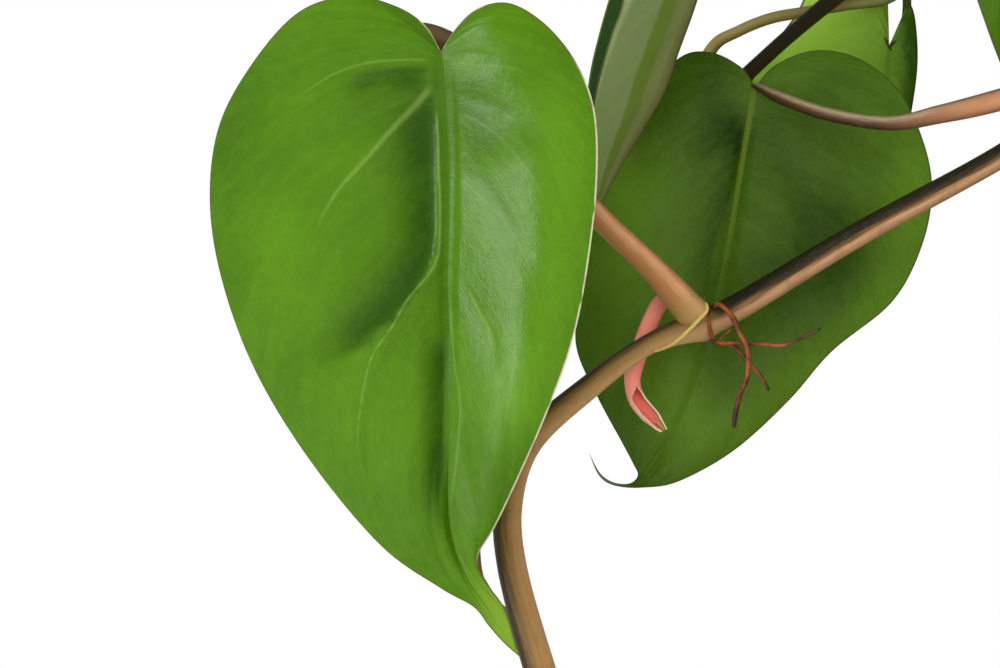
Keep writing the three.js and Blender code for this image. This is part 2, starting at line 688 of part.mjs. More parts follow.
/** Adds the trailing vines and their leaves. */
function addTrailingVines() {
  const random = makeRandom(SEED);
  for (let vine = 0; vine < TRAILING_VINES; vine++) {
    const azimuth = FIRST_AZIMUTH + AZIMUTH_STEP * vine;
    const stem = trailingStem(azimuth, SWAY.most * random());
    const stalks = TIERS.map((tier, i) => {
      const height = tier.height + (vine % 2 ? tier.layer : -tier.layer);
      return addHeart({
        name: `leaf_${vine + 1}_${i + 1}`,
        at: tier.at,
        notch: inSector(azimuth, tier.reach + SPREAD.reach * random(), tier.aside, height),
        azimuth: azimuth + SPREAD.azimuth * random() + TURN_PER_ASIDE * tier.aside,
        droop: tier.droop + SPREAD.droop * random(),
        roll: SPREAD.roll * random(),
        length: tier.length * (1 + SPREAD.length * random()),
        finish: (i + vine) % YOUNG_EVERY ? DEEP_GREEN : YOUNG_GREEN,
      }, stem);
    });
    addVine(`vine_${vine + 1}`, stem, stalks);
  }
}

/** Adds the short upright vine in the middle. */
function addCrown() {
  const stalks = [];
  for (let i = 0; i < CROWN.leaves; i++) {
    const azimuth = CROWN.azimuth + (360 * i) / CROWN.leaves;
    stalks.push(addHeart({
      name: `leaf_crown_${i + 1}`,
      at: CROWN.firstNode + i,
      notch: inSector(azimuth, CROWN.reach, 0, CROWN.height + CROWN.layer * (i % 2)),
      azimuth,
      droop: CROWN.droop,
      length: CROWN.length,
      finish: i % 2 ? YOUNG_GREEN : DEEP_GREEN,
    }, CROWN_VINE));
  }
  addVine('vine_crown', CROWN_VINE, stalks);
}

/** Adds the two vines that carry the leaves facing the front. */
function addFacingVines() {
  addVine('vine_front', FRONT_VINE, [
    tube(FRONT_STALK, STEM_SIDES, 1),
    tube(BACK_STALK, STEM_SIDES, 1),
    ...AERIAL_ROOTS.map((route) => tube(route, ROOT_SIDES, 1)),
    tube(TORN_SHEATH, STALK_SIDES, 1),
    ...FRONT_VINE_HEARTS.map((spec) => addHeart(spec, FRONT_VINE)),
  ]);
  addVine('vine_back', BACK_VINE, [
    tube(BEHIND_STALK, STALK_SIDES, 1),
    addNarrowLeaf(BACK_VINE),
    ...BACK_VINE_HEARTS.map((spec) => addHeart(spec, BACK_VINE)),
  ]);
}

// Pot and soil

const collarFoot = POT_HEIGHT - COLLAR_HEIGHT;
const innerShoulder = SHOULDER_RADIUS - POT_WALL;
const innerFoot = FOOT_RADIUS - POT_WALL;
const innerRim = RIM_RADIUS - POT_WALL - POT_EDGE;

/** Tapered pot with a collar rim, and drain holes beside the middle of its flat foot. */
function potGeometry() {
  let solid = solidOf(turned([
    [0, 0],
    [FOOT_RADIUS - POT_EDGE, 0],
    [FOOT_RADIUS, POT_EDGE],
    [SHOULDER_RADIUS, collarFoot],
    [RIM_RADIUS - COLLAR_LIP, collarFoot],
    [RIM_RADIUS - COLLAR_LIP + POT_EDGE, collarFoot + POT_EDGE],
    [RIM_RADIUS, POT_HEIGHT - POT_EDGE],
    [RIM_RADIUS - POT_EDGE, POT_HEIGHT],
    [innerRim + POT_EDGE, POT_HEIGHT],
    [innerRim, POT_HEIGHT - POT_EDGE],
    [innerShoulder, collarFoot],
    [innerFoot, POT_FLOOR],
    [0, POT_FLOOR],
  ], POT_SIDES));
  for (let i = 0; i < DRAIN_HOLES; i++) {
    const turn = (2 * Math.PI * i) / DRAIN_HOLES;
    const [x, y] = [DRAIN_CIRCLE * Math.cos(turn), DRAIN_CIRCLE * Math.sin(turn)];
    solid = solid.subtract(solidOf(upright(DRAIN_RADIUS, 3 * POT_FLOOR, x, y, -POT_FLOOR)));
  }
  return geometryOf(solid);
}

/** Soil that fills the pot to a little below its rim, with a hole for each stem. */
function soilGeometry() {
  const gap = 2 * CLEARANCE;
  const inCollar = (SOIL_TOP - collarFoot) / (COLLAR_HEIGHT - POT_EDGE);
  const topRadius = THREE.MathUtils.lerp(innerShoulder, innerRim, inCollar) - gap;
  const profile = [
    [0, POT_FLOOR + CLEARANCE],
    [innerFoot - gap, POT_FLOOR + CLEARANCE],
    [innerShoulder - gap, collarFoot],
    [topRadius, SOIL_TOP],
  ];
  for (let ring = SOIL_RINGS - 1; ring >= 0; ring--) {
    profile.push([(topRadius * ring) / SOIL_RINGS, SOIL_TOP]);
  }
  const body = turned(profile, POT_SIDES);
  const corners = body.attributes.position;
  for (let i = 0; i < corners.count; i++) {
    const [x, y, z] = [corners.getX(i), corners.getY(i), corners.getZ(i)];
    const insideTop = z > SOIL_TOP - CLEARANCE && Math.hypot(x, y) < topRadius - CLEARANCE;
    if (insideTop) {
      corners.setZ(i, z + SOIL_UNEVENNESS * Math.sin(0.21 * x + 1) * Math.cos(0.17 * y - 0.4));
    }
  }
  let solid = solidOf(body);
  const radius = (STEM_RADIUS + HOLE_CLEARANCE) / Math.cos(Math.PI / HOLE_SIDES);
  for (const [x, y, z] of rootedAt) {
    solid = solid.subtract(solidOf(upright(radius, 2 * ROOTED_DEPTH, x, y, z - CLEARANCE)));
  }
  return geometryOf(solid);
}

addTrailingVines();
addFrontLeaves();
addFacingVines();
addCrown();
addPiece('pot', potGeometry(), CLAY);
addPiece('soil', soilGeometry(), SOIL);

export default plant;
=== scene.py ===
"""The looks of a potted heartleaf philodendron, built around its CAD frame.

A clay pot holds soil, and vines root in it, arch over the rim, hang down and lie along the
surface. Lengths are in metres. Tables of points, which a maker would measure off the plant, are
in millimetres, and MM turns them into metres.
"""

import json
import logging
import math
from abc import ABC, abstractmethod
from collections.abc import Callable, Sequence
from dataclasses import dataclass, field, replace
from enum import Enum
from typing import Any

import bpy
import numpy as np
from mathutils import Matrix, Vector

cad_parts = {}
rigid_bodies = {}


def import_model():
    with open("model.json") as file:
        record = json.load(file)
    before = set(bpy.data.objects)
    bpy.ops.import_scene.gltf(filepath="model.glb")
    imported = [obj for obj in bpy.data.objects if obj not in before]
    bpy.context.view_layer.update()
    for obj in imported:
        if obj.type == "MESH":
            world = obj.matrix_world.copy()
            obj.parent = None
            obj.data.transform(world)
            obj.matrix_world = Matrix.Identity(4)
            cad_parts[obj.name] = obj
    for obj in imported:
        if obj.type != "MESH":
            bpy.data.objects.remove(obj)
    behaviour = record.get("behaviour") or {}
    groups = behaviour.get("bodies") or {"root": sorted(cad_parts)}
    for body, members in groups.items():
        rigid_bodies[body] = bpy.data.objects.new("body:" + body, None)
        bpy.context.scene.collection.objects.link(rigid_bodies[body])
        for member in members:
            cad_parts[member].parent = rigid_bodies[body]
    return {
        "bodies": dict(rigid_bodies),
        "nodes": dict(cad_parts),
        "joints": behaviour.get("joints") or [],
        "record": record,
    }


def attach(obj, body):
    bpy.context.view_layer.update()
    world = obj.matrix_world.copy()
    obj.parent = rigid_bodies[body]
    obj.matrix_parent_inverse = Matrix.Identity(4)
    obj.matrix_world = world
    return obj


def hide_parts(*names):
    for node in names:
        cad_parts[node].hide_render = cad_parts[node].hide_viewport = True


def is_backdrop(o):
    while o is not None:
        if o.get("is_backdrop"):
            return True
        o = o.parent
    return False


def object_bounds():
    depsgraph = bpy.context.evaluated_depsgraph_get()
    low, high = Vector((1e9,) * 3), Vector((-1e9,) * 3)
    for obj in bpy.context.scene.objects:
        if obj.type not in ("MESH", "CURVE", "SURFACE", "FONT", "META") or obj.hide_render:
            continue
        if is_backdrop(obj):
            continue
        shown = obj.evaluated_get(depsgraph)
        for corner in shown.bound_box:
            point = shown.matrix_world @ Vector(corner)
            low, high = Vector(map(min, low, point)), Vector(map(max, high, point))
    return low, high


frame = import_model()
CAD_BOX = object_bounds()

MM = 0.001
ROOT_BODY = "root"
log = logging.getLogger("philodendron")
# How close vertices are that a weld merges, in metres
GAP, FINE_GAP, COARSE_GAP = 1e-6, 1e-7, 1e-5
# Half widths of a pale line, a single vein or a painted highlight of gloss, over which its colour fades
PALE_LINE_REACH = 1.4

Array = np.ndarray
Piece = bpy.types.Object
Socket = bpy.types.NodeSocket
Point = tuple[float, ...]
Route = Sequence[Point]
Colour = tuple[float, ...]
Stops = tuple[tuple[float, Colour], ...]


class MaterialSlot(Enum):
    """Material slots of the record."""

    CLAY = "clay"
    SOIL = "soil"
    STEM = "stem"
    LEAF_YOUNG = "leaf_young"
    LEAF_DEEP = "leaf_deep"
    LEAF_PALE = "leaf_pale"


# Curves and numbers


def smooth(values: Any, place: Any) -> Array:
    """Reads a smooth line through all the values at places along it.

    Args:
        values: The values, one number or one row for each whole place.
        place: Where to read, counted in values from 0.

    Returns:
        One number or row for each place.
    """
    rows = np.asarray(values, float)
    places = np.asarray(place, float)
    padded = np.concatenate([[2 * rows[0] - rows[1]], rows, [2 * rows[-1] - rows[-2]]])
    start = np.clip(np.floor(places).astype(int), 0, len(rows) - 2)
    t = (places - start).reshape(places.shape + (1,) * (rows.ndim - 1))
    before, a, b, after = (padded[start + i] for i in range(4))
    leave = (b - before) / 2
    arrive = (after - a) / 2
    curve = (2 * a - 2 * b + leave + arrive) * t + (3 * b - 3 * a - 2 * leave - arrive)
    return (curve * t + leave) * t + a


def ramp(x: Any, low: float, high: float) -> Array:
    """Rises softly from 0 at low to 1 at high."""
    t = np.clip((np.asarray(x, float) - low) / (high - low), 0, 1)
    return t * t * (3 - 2 * t)


def plateau(x: Any, start: float, full: float, falling: float, end: float) -> Array:
    """Rises softly from 0 at start to 1 at full, and sinks again from falling to end."""
    return ramp(x, start, full) * (1 - ramp(x, falling, end))


def bell(x: Array, width: Any) -> Array:
    """Gives 1 at 0 and fades out at about twice a width on either side."""
    return np.exp(-((x / width) ** 2))


def unit(vectors: Array) -> Array:
    """Gives vectors the length 1."""
    return vectors / np.linalg.norm(vectors, axis=-1, keepdims=True)


def around_ring(top: Array, aside: Array, turn: Array) -> Array:
    """Points from a ring's centre to its skin, turned from its top to its side."""
    return top * np.cos(turn)[:, None] + aside * np.sin(turn)[:, None]


def turned_about(vector: Array, axis: Array, angle: float) -> Array:
    """Turns a vector about an axis of length 1 by an angle in radians."""
    along = axis * axis.dot(vector) * (1 - math.cos(angle))
    return vector * math.cos(angle) + np.cross(axis, vector) * math.sin(angle) + along


def in_sector(azimuth: float, reach: float, aside: float, height: float) -> Point:
    """Finds a point by its direction in degrees and its distances from the pot's axis and aside."""
    cos, sin = math.cos(math.radians(azimuth)), math.sin(math.radians(azimuth))
    return (reach * cos - aside * sin, reach * sin + aside * cos, height)


class Dice:
    """Repeatable random numbers from -1 to 1."""

    MODULUS = 2147483647
    FACTOR = 16807

    def __init__(self, seed: int) -> None:
        """Starts the row of numbers at a seed."""
        self.state = seed

    def roll(self) -> float:
        """Gives the next number."""
        self.state = self.state * self.FACTOR % self.MODULUS
        return 2 * self.state / self.MODULUS - 1


# Mesh work


def deselect_all() -> None:
    """Leaves nothing selected."""
    for thing in bpy.context.view_layer.objects:
        thing.select_set(False)


def select_only(*pieces: Piece) -> None:
    """Selects pieces alone and makes the first one active.

    Args:
        *pieces: The pieces.
    """
    deselect_all()
    for piece in pieces:
        piece.select_set(True)
    bpy.context.view_layer.objects.active = pieces[0]


def add(operator: Callable[..., Any], name: str, **settings: Any) -> Piece:
    """Adds a mesh, a light or a camera.

    Args:
        operator: The operator that adds it.
        name: Its name.
        **settings: The operator's settings.

    Returns:
        The new object.
    """
    deselect_all()
    operator(**settings)
    piece = bpy.context.object
    piece.name = name
    return piece


def add_grid(name: str, columns: int, rows: int) -> Piece:
    """Adds a flat grid of faces from -1 to 1 each way."""
    return add(bpy.ops.mesh.primitive_grid_add, name, x_subdivisions=columns, y_subdivisions=rows, size=2)


def corners_of(piece: Piece) -> Array:
    """Reads the places of a piece's vertices.

    Args:
        piece: The piece.

    Returns:
        A row of x, y and z for each vertex.
    """
    corners = np.zeros(len(piece.data.vertices) * 3, np.float32)
    piece.data.vertices.foreach_get("co", corners)
    return corners.reshape(-1, 3).astype(float)


def set_corners(piece: Piece, corners: Array) -> None:
    """Moves a piece's vertices to new places."""
    piece.data.vertices.foreach_set("co", corners.astype(np.float32).ravel())
    piece.data.update()


def set_uv(piece: Piece, places: Array) -> None:
    """Gives each vertex a place on the piece's UV map.

    Args:
        piece: The piece.
        places: A row of two numbers for each vertex.
    """
    loops = np.zeros(len(piece.data.loops), np.int32)
    piece.data.loops.foreach_get("vertex_index", loops)
    layer = piece.data.uv_layers.active
    layer.data.foreach_set("uv", places[loops].astype(np.float32).ravel())


def paint(piece: Piece, name: str, values: Array) -> None:
    """Keeps a number for each vertex under a name that materials can read."""
    layer = piece.data.attributes.get(name) or piece.data.attributes.new(name, "FLOAT", "POINT")
    layer.data.foreach_set("value", np.broadcast_to(values, len(layer.data)).astype(np.float32))


def weld(piece: Piece, distance: float = GAP) -> None:
    """Merges vertices that meet and points the faces outwards.

    Args:
        piece: The piece to close.
        distance: How close vertices are that become one.
    """
    select_only(piece)
    bpy.ops.object.mode_set(mode="EDIT")
    bpy.ops.mesh.select_all(action="SELECT")
    bpy.ops.mesh.remove_doubles(threshold=distance)
    bpy.ops.mesh.normals_make_consistent(inside=False)
    bpy.ops.object.mode_set(mode="OBJECT")


def apply_modifier(piece: Piece, kind: str, **settings: Any) -> None:
    """Adds a modifier and applies it.

    Args:
        piece: The piece to change.
        kind: The modifier's type.
        **settings: Its settings.
    """
    select_only(piece)
    modifier = piece.modifiers.new(kind.title(), kind)
    for key, value in settings.items():
        setattr(modifier, key, value)
    bpy.ops.object.modifier_apply(modifier=modifier.name)


def add_wall(piece: Piece, thickness: float) -> None:
    """Thickens a sheet inwards, with empty slots for its outside, its inside and its rim.

    Args:
        piece: The sheet.
        thickness: The wall's thickness.
    """
    for _ in range(3):
        piece.data.materials.append(None)
    apply_modifier(
        piece, "SOLIDIFY", thickness=thickness, offset=-1.0, material_offset=1, material_offset_rim=2
    )


def shade(piece: Piece, degrees: float = 50) -> None:
    """Shades a piece smooth except over edges sharper than an angle."""
    select_only(piece)
    bpy.ops.object.shade_smooth_by_angle(angle=math.radians(degrees))


def copy_of(piece: Piece, name: str) -> Piece:
    """Copies a piece with a mesh of its own.

    Args:
        piece: The piece to copy.
        name: The copy's name.

    Returns:
        The copy.
    """
    copy = piece.copy()
    copy.data = piece.data.copy()
    copy.name = name
    bpy.context.scene.collection.objects.link(copy)
    return copy


def joined(pieces: list[Piece], name: str) -> Piece:
    """Joins pieces into one.

    Args:
        pieces: The pieces.
        name: The joined piece's name.

    Returns:
        The joined piece.
    """
    select_only(*pieces)
    bpy.ops.object.join()
    whole = bpy.context.object
    whole.name = name
    return whole


def hand_over(piece: Piece, node: str) -> None:
    """Lets a finished piece stand for its CAD node.

    Args:
        piece: The finished piece.
        node: The node that it replaces.
    """
    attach(piece, ROOT_BODY)
    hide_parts(node)
    log.info("%s: %d faces", piece.name, len(piece.data.polygons))


# Finishes


def colour(red: int, green: int, blue: int) -> Colour:
    """Turns a screen colour into the linear colour that materials use, by the sRGB curve.

    Args:
        red: Its red, from 0 to 255.
        green: Its green.
        blue: Its blue.

    Returns:
        The linear colour, opaque.
    """
    shares = (red / 255, green / 255, blue / 255)
    linear = (s / 12.92 if s <= 0.04045 else ((s + 0.055) / 1.055) ** 2.4 for s in shares)
    return (*linear, 1.0)


def tones(*rows: tuple[float, ...]) -> Stops:
    """Lists places and their colours, from rows of a place, red, green and blue."""
    return tuple((place, colour(*tone)) for place, *tone in rows)


class Recipe:
    """Mixes a finish out of shader nodes."""

    def __init__(self, block: bpy.types.Material | bpy.types.World) -> None:
        """Starts without nodes.

        Args:
            block: What is mixed: a material or the surroundings.
        """
        block.use_nodes = True
        self.tree = block.node_tree
        self.tree.nodes.clear()

    def node(self, kind: str, inputs: dict[Any, Any], **settings: Any) -> bpy.types.Node:
        """Adds a node.

        Args:
            kind: The node's type after ShaderNode.
            inputs: Numbers, colours or outputs for its inputs, by name or place.
            **settings: Its settings.

        Returns:
            The node.
        """
        node = self.tree.nodes.new("ShaderNode" + kind)
        for key, value in settings.items():
            setattr(node, key, value)
        for key, value in inputs.items():
            if isinstance(value, Socket):
                self.tree.links.new(value, node.inputs[key])
            else:
                node.inputs[key].default_value = value
        return node

    def place(self) -> Socket:
        """Gives the place on the piece, in metres."""
        return self.node("TexCoord", {}).outputs["Object"]

    def uv(self) -> tuple[Socket, Socket]:
        """Gives the place on the UV map, along and across."""
        parts = self.node("SeparateXYZ", {0: self.node("UVMap", {}, uv_map="UVMap").outputs["UV"]})
        return parts.outputs[0], parts.outputs[1]

    def painted(self, name: str) -> Socket:
        """Gives a number that was kept for each vertex."""
        return self.node("Attribute", {}, attribute_name=name).outputs["Fac"]

    def math(self, operation: str, *terms: Any, clamp: bool = False) -> Socket:
        """Works out a number, which clamp keeps between 0 and 1."""
        inputs = dict(enumerate(terms))
        return self.node("Math", inputs, operation=operation, use_clamp=clamp).outputs[0]

    def times(self, first: Any, second: Any) -> Socket:
        """Multiplies two numbers."""
        return self.math("MULTIPLY", first, second)

    def scaled(self, value: Any, factor: Any, added: Any) -> Socket:
        """Multiplies a number by a factor and adds another one."""
        return self.math("MULTIPLY_ADD", value, factor, added)

    def rise(self, value: Any, low: float, high: float) -> Socket:
        """Rises softly from 0 at low to 1 at high."""
        inputs = {"Value": value, "From Min": low, "From Max": high}
        return self.node("MapRange", inputs, interpolation_type="SMOOTHSTEP").outputs[0]

    def fall(self, value: Any, low: float, high: float) -> Socket:
        """Falls softly from 1 at low to 0 at high."""
        return self.math("SUBTRACT", 1.0, self.rise(value, low, high))

    def from_midrib(self, across: Any) -> Socket:
        """Turns a place between a leaf's edges into one from the midrib at 0 to the edge at 1."""
        return self.math("ABSOLUTE", self.scaled(across, 2.0, -1.0))

    def vector(self, x: Any, y: Any, z: Any = 0.0) -> Socket:
        """Puts three numbers together."""
        return self.node("CombineXYZ", {0: x, 1: y, 2: z}).outputs[0]

    def noise(self, vector: Any, scale: float, detail: float = 2.0) -> Socket:
        """Gives soft noise around 0.5, with scale blots to a unit and detail finer layers."""
        inputs = {"Vector": vector, "Scale": scale, "Detail": detail}
        return self.node("TexNoise", inputs).outputs[0]

    def mix(self, factor: Any, first: Any, second: Any) -> Socket:
        """Mixes two colours, with the factor as the second one's share."""
        inputs = {0: factor, 6: first, 7: second}
        return self.node("Mix", inputs, data_type="RGBA").outputs[2]

    def blend(self, place: Any, stops: Stops) -> Socket:
        """Runs through colours.

        Args:
            place: Where to read, from 0 to 1.
            stops: Places and their colours, in order.

        Returns:
            The colour.
        """
        node = self.node("ValToRGB", {0: place})
        line = node.color_ramp.elements
        line[0].position, line[0].color = stops[0]
        line[1].position, line[1].color = stops[-1]
        for position, tone in stops[1:-1]:
            line.new(position).color = tone
        return node.outputs[0]

    def bump(self, height: Any, depth: float, strength: float = 1.0) -> Socket:
        """Turns a height from 0 to 1 into a normal, with the depth in metres."""
        inputs = {"Height": height, "Distance": depth, "Strength": strength}
        return self.node("Bump", inputs).outputs[0]

    def finish(self, base: Any, roughness: Any, normal: Any, gloss: float = 0.5) -> None:
        """Ends the material with its shader.

        Args:
            base: The base colour.
            roughness: The roughness.
            normal: The normal.
            gloss: How strongly it mirrors.
        """
        inputs = {"Base Color": base, "Roughness": roughness, "Normal": normal, "Specular IOR Level": gloss}
        self.node("OutputMaterial", {"Surface": self.node("BsdfPrincipled", inputs).outputs[0]})


@dataclass(frozen=True)
class Finish(ABC):
    """A finish that is mixed once and shared by all the pieces that have it."""

    name: str

    def material(self) -> bpy.types.Material:
        """Builds the material, or finds it if it is there already.

        Returns:
            The material.
        """
        material = bpy.data.materials.get(self.name)
        if not material:
            material = bpy.data.materials.new(self.name)
            self.compose(Recipe(material))
        return material

    @abstractmethod
    def compose(self, mix: Recipe) -> None:
        """Mixes the finish out of shader nodes."""


@dataclass(frozen=True)
class VeinPlan:
    """Where the side veins of a blade run, counted in ribs of its outline."""

    ribs: int
    first: float
    spacing: float
    shift: float
    curve: float = 1.3

    def phase(self, rib: Array, out: Array) -> Array:
        """Counts veins: a whole number lies on a vein."""
        return (rib - self.shift * out**self.curve - self.first) / self.spacing

    def phase_nodes(self, mix: Recipe, along: Any, out: Any) -> Socket:
        """Counts veins in a material, as phase does on the mesh.

        Args:
            mix: The recipe.
            along: Place from notch to tip, from 0 to 1.
            out: Place from midrib to edge, from 0 to 1.

        Returns:
            The count of veins.
        """
        bend = mix.times(mix.math("POWER", out, self.curve), self.shift)
        rib = mix.times(along, float(self.ribs))
        from_first = mix.math("SUBTRACT", mix.math("SUBTRACT", rib, bend), self.first)
        return mix.math("DIVIDE", from_first, self.spacing)


TABLE_VEINS = VeinPlan(ribs=16, first=1.7, spacing=1.8, shift=2.5)
SHORT_TABLE_VEINS = VeinPlan(ribs=10, first=1.2, spacing=1.2, shift=1.6)
NARROW_VEINS = VeinPlan(ribs=11, first=1.2, spacing=1.2, shift=1.6)
HEART_VEINS = VeinPlan(ribs=8, first=0.85, spacing=0.9, shift=1.25)


@dataclass(frozen=True)
class EdgeFinish(Finish):
    """Thin margin and rim of a leaf, with its own colour on each side and at the notch."""

    left: Colour
    right: Colour
    notch: Colour
    roughness: float = 0.5
    worn_share: float = 0.3

    # Where the right colour sets in, across and along the leaf, and where the left one ends it
    MIDDLE, RIGHT_FROM, TIP = (0.4, 0.6), (0.3, 0.35), (0.76, 0.84)
    # How far the notch's colour reaches on the left, and how much further on the right
    NOTCH_END, NOTCH_MORE = 0.08, 0.06

    def tone(self, mix: Recipe, along: Any, across: Any) -> Socket:
        """Gives the margin's colour.

        Args:
            mix: The recipe.
            along: Place from notch to tip, from 0 to 1.
            across: Place from the left edge to the right one, from 0 to 1.

        Returns:
            The colour.
        """
        worn = mix.noise(mix.place(), scale=400.0)
        side = mix.rise(across, *self.MIDDLE)
        base = mix.mix(mix.times(side, mix.rise(along, *self.RIGHT_FROM)), self.left, self.right)
        base = mix.mix(mix.rise(along, *self.TIP), base, self.left)
        notch_end = mix.scaled(side, self.NOTCH_MORE, self.NOTCH_END)
        base = mix.mix(mix.math("LESS_THAN", along, notch_end), base, self.notch)
        return mix.mix(mix.times(mix.rise(worn, 0.5, 0.7), self.worn_share), base, self.left)

    def compose(self, mix: Recipe) -> None:
        """Mixes the rim.

        Args:
            mix: The recipe.
        """
        along, across = mix.uv()
        grain = mix.noise(mix.place(), scale=900.0)
        normal = mix.bump(grain, depth=0.05 * MM, strength=0.4)
        mix.finish(self.tone(mix, along, across), self.roughness, normal)


@dataclass(frozen=True)
class BladeFinish(Finish):
    """Glossy upper face of a leaf."""

    deep: Colour
    bright: Colour
    # Colour of the even veins and of the pale lines, which include painted highlights of gloss
    vein: Colour
    midrib: Colour
    tip: Colour
    veins: VeinPlan
    margin: EdgeFinish
    margin_width: float = 0.25
    margin_fade: float = 0.25
    vein_share: float = 0.3
    midrib_share: float = 0.6
    midrib_width: float = 0.9
    midrib_end: float = 0.9
    streaks: float = 0.3
    clouds: float = 0.6
    gloss: float = 0.2
    roughness: float = 0.28
    tip_roughness: float = 0.0
    blisters: float = 0.6

    # A fine pattern's share of the green, an even side vein's width, where the midrib starts to fade
    FINE_SHARE, VEIN_WIDTH, MIDRIB_FADE = 0.2, 0.07, 0.3
    # Where the tip's colour and its roughness begin, and where the even side veins fade out
    TIP, ROUGH_TIP, VEIN_FADE = (0.78, 0.93), (0.56, 0.68), (0.3, 0.8)

    def tone(self, mix: Recipe, streaks: Any, threads: Any) -> Socket:
        """Works out how bright the green is, from 0 to 1, with painted light and shade from the shade marks
        and from sunk relief.

        Args:
            mix: The recipe.
            streaks: Noise that runs along the side veins.
            threads: Finer noise that runs along them.

        Returns:
            The share of the bright green.
        """
        clouds = mix.noise(mix.place(), scale=45.0)
        mottle = mix.noise(mix.place(), scale=620.0)
        fine = self.FINE_SHARE
        middle = 0.5 - 0.5 * (self.streaks + self.clouds + 2 * fine)
        # Painted light and shade: the marks kept under shade make the green lighter or darker
        tone = mix.math("ADD", mix.painted("shade"), middle)
        shares = ((streaks, self.streaks), (clouds, self.clouds), (mottle, fine), (threads, fine))
        for pattern, share in shares:
            tone = mix.scaled(pattern, share, tone)
        # Painted shade: sunk relief darkens the green and raised relief lightens it
        return mix.math("MULTIPLY_ADD", mix.painted("relief"), 0.12, tone, clamp=True)

    def lines(self, mix: Recipe, phase: Any, out: Any) -> Socket:
        """Gives the share of the pale lines' colour: the even side veins, and the single veins and painted
        highlights drawn singly.

        Args:
            mix: The recipe.
            phase: The count of veins.
            out: Place from midrib to edge, from 0 to 1.

        Returns:
            The share.
        """
        even = mix.fall(mix.math("PINGPONG", phase, 0.5), 0.0, self.VEIN_WIDTH)
        even = mix.times(even, mix.fall(out, *self.VEIN_FADE))
        even = mix.times(even, self.vein_share)
        # Pale lines kept under vein: single veins, and painted highlights of gloss
        beside = mix.math("ABSOLUTE", mix.painted("vein"))
        single = mix.times(mix.painted("vein_share"), mix.fall(beside, 0.0, PALE_LINE_REACH))
        return mix.math("MAXIMUM", even, single)

    def compose(self, mix: Recipe) -> None:
        """Mixes the upper face.

        Args:
            mix: The recipe.
        """
        along, across = mix.uv()
        out = mix.from_midrib(across)
        phase = self.veins.phase_nodes(mix, along, out)
        streaks = mix.noise(mix.vector(phase, mix.times(out, 0.35), across), scale=9.0, detail=4.0)
        threads = mix.noise(mix.vector(phase, mix.times(out, 0.5), across), scale=46.0)
        specks = mix.noise(mix.place(), scale=2400.0)

        base = mix.mix(self.tone(mix, streaks, threads), self.deep, self.bright)
        base = mix.mix(mix.rise(along, *self.TIP), base, self.tip)
        base = mix.mix(self.lines(mix, phase, out), base, self.vein)
        line = mix.fall(mix.painted("reach"), self.midrib_width * 0.5, self.midrib_width)
        line = mix.times(line, mix.fall(along, self.MIDRIB_FADE, self.midrib_end))
        base = mix.mix(mix.times(line, self.midrib_share), base, self.midrib)
        rim = mix.fall(mix.painted("margin"), self.margin_width, self.margin_width + self.margin_fade)
        base = mix.mix(rim, base, self.margin.tone(mix, along, across))

        grain = mix.scaled(threads, 0.5, mix.times(specks, 0.45))
        grain = mix.scaled(streaks, 0.6, grain)
        grain = mix.scaled(mix.noise(mix.place(), scale=380.0), self.blisters, grain)
        rough = mix.scaled(specks, 0.2, self.roughness - 0.1)
        rough = mix.scaled(mix.rise(along, *self.ROUGH_TIP), self.tip_roughness, rough)
        mix.finish(base, rough, mix.bump(grain, depth=0.1 * MM, strength=0.6), self.gloss)


@dataclass(frozen=True)
class UndersideFinish(Finish):
    """Matt, pale lower face of a leaf, with colours from the midrib at 0 to the edge at 1."""

    bands: Stops
    veins: VeinPlan
    band_shift: float = 0.0
    vein_share: float = 0.12
    roughness: float = 0.5
    gloss: float = 0.25

    # Width of a vein, where along the leaf the bands lie as listed, and how near the midrib they hold
    VEIN_WIDTH, UNSHIFTED_AT, STEADY = 0.08, 0.7, 0.2

    def compose(self, mix: Recipe) -> None:
        """Mixes the lower face.

        Args:
            mix: The recipe.
        """
        along, across = mix.uv()
        out = mix.from_midrib(across)
        phase = self.veins.phase_nodes(mix, along, out)
        streaks = mix.noise(mix.vector(phase, mix.times(out, 0.35), across), scale=8.0, detail=4.0)
        fibres = mix.noise(mix.vector(mix.times(along, 0.12), across, out), scale=60.0, detail=3.0)
        line = mix.fall(mix.math("PINGPONG", phase, 0.5), 0.0, self.VEIN_WIDTH)
        line = mix.times(line, self.vein_share)
        shift = mix.times(mix.math("SUBTRACT", along, self.UNSHIFTED_AT), self.band_shift)
        wander = mix.math("ADD", shift, mix.scaled(fibres, 0.06, -0.03))
        place = mix.math("SUBTRACT", out, mix.times(wander, mix.rise(out, 0.0, self.STEADY)))
        base = mix.blend(place, self.bands)
        streaked = mix.times(mix.rise(streaks, 0.4, 0.7), self.vein_share)
        base = mix.mix(line, mix.mix(streaked, base, self.bands[0][1]), self.bands[-1][1])
        height = mix.scaled(line, 4.0, mix.scaled(fibres, 0.5, mix.times(streaks, 0.3)))
        normal = mix.bump(height, depth=0.12 * MM, strength=0.6)
        mix.finish(base, self.roughness, normal, self.gloss)


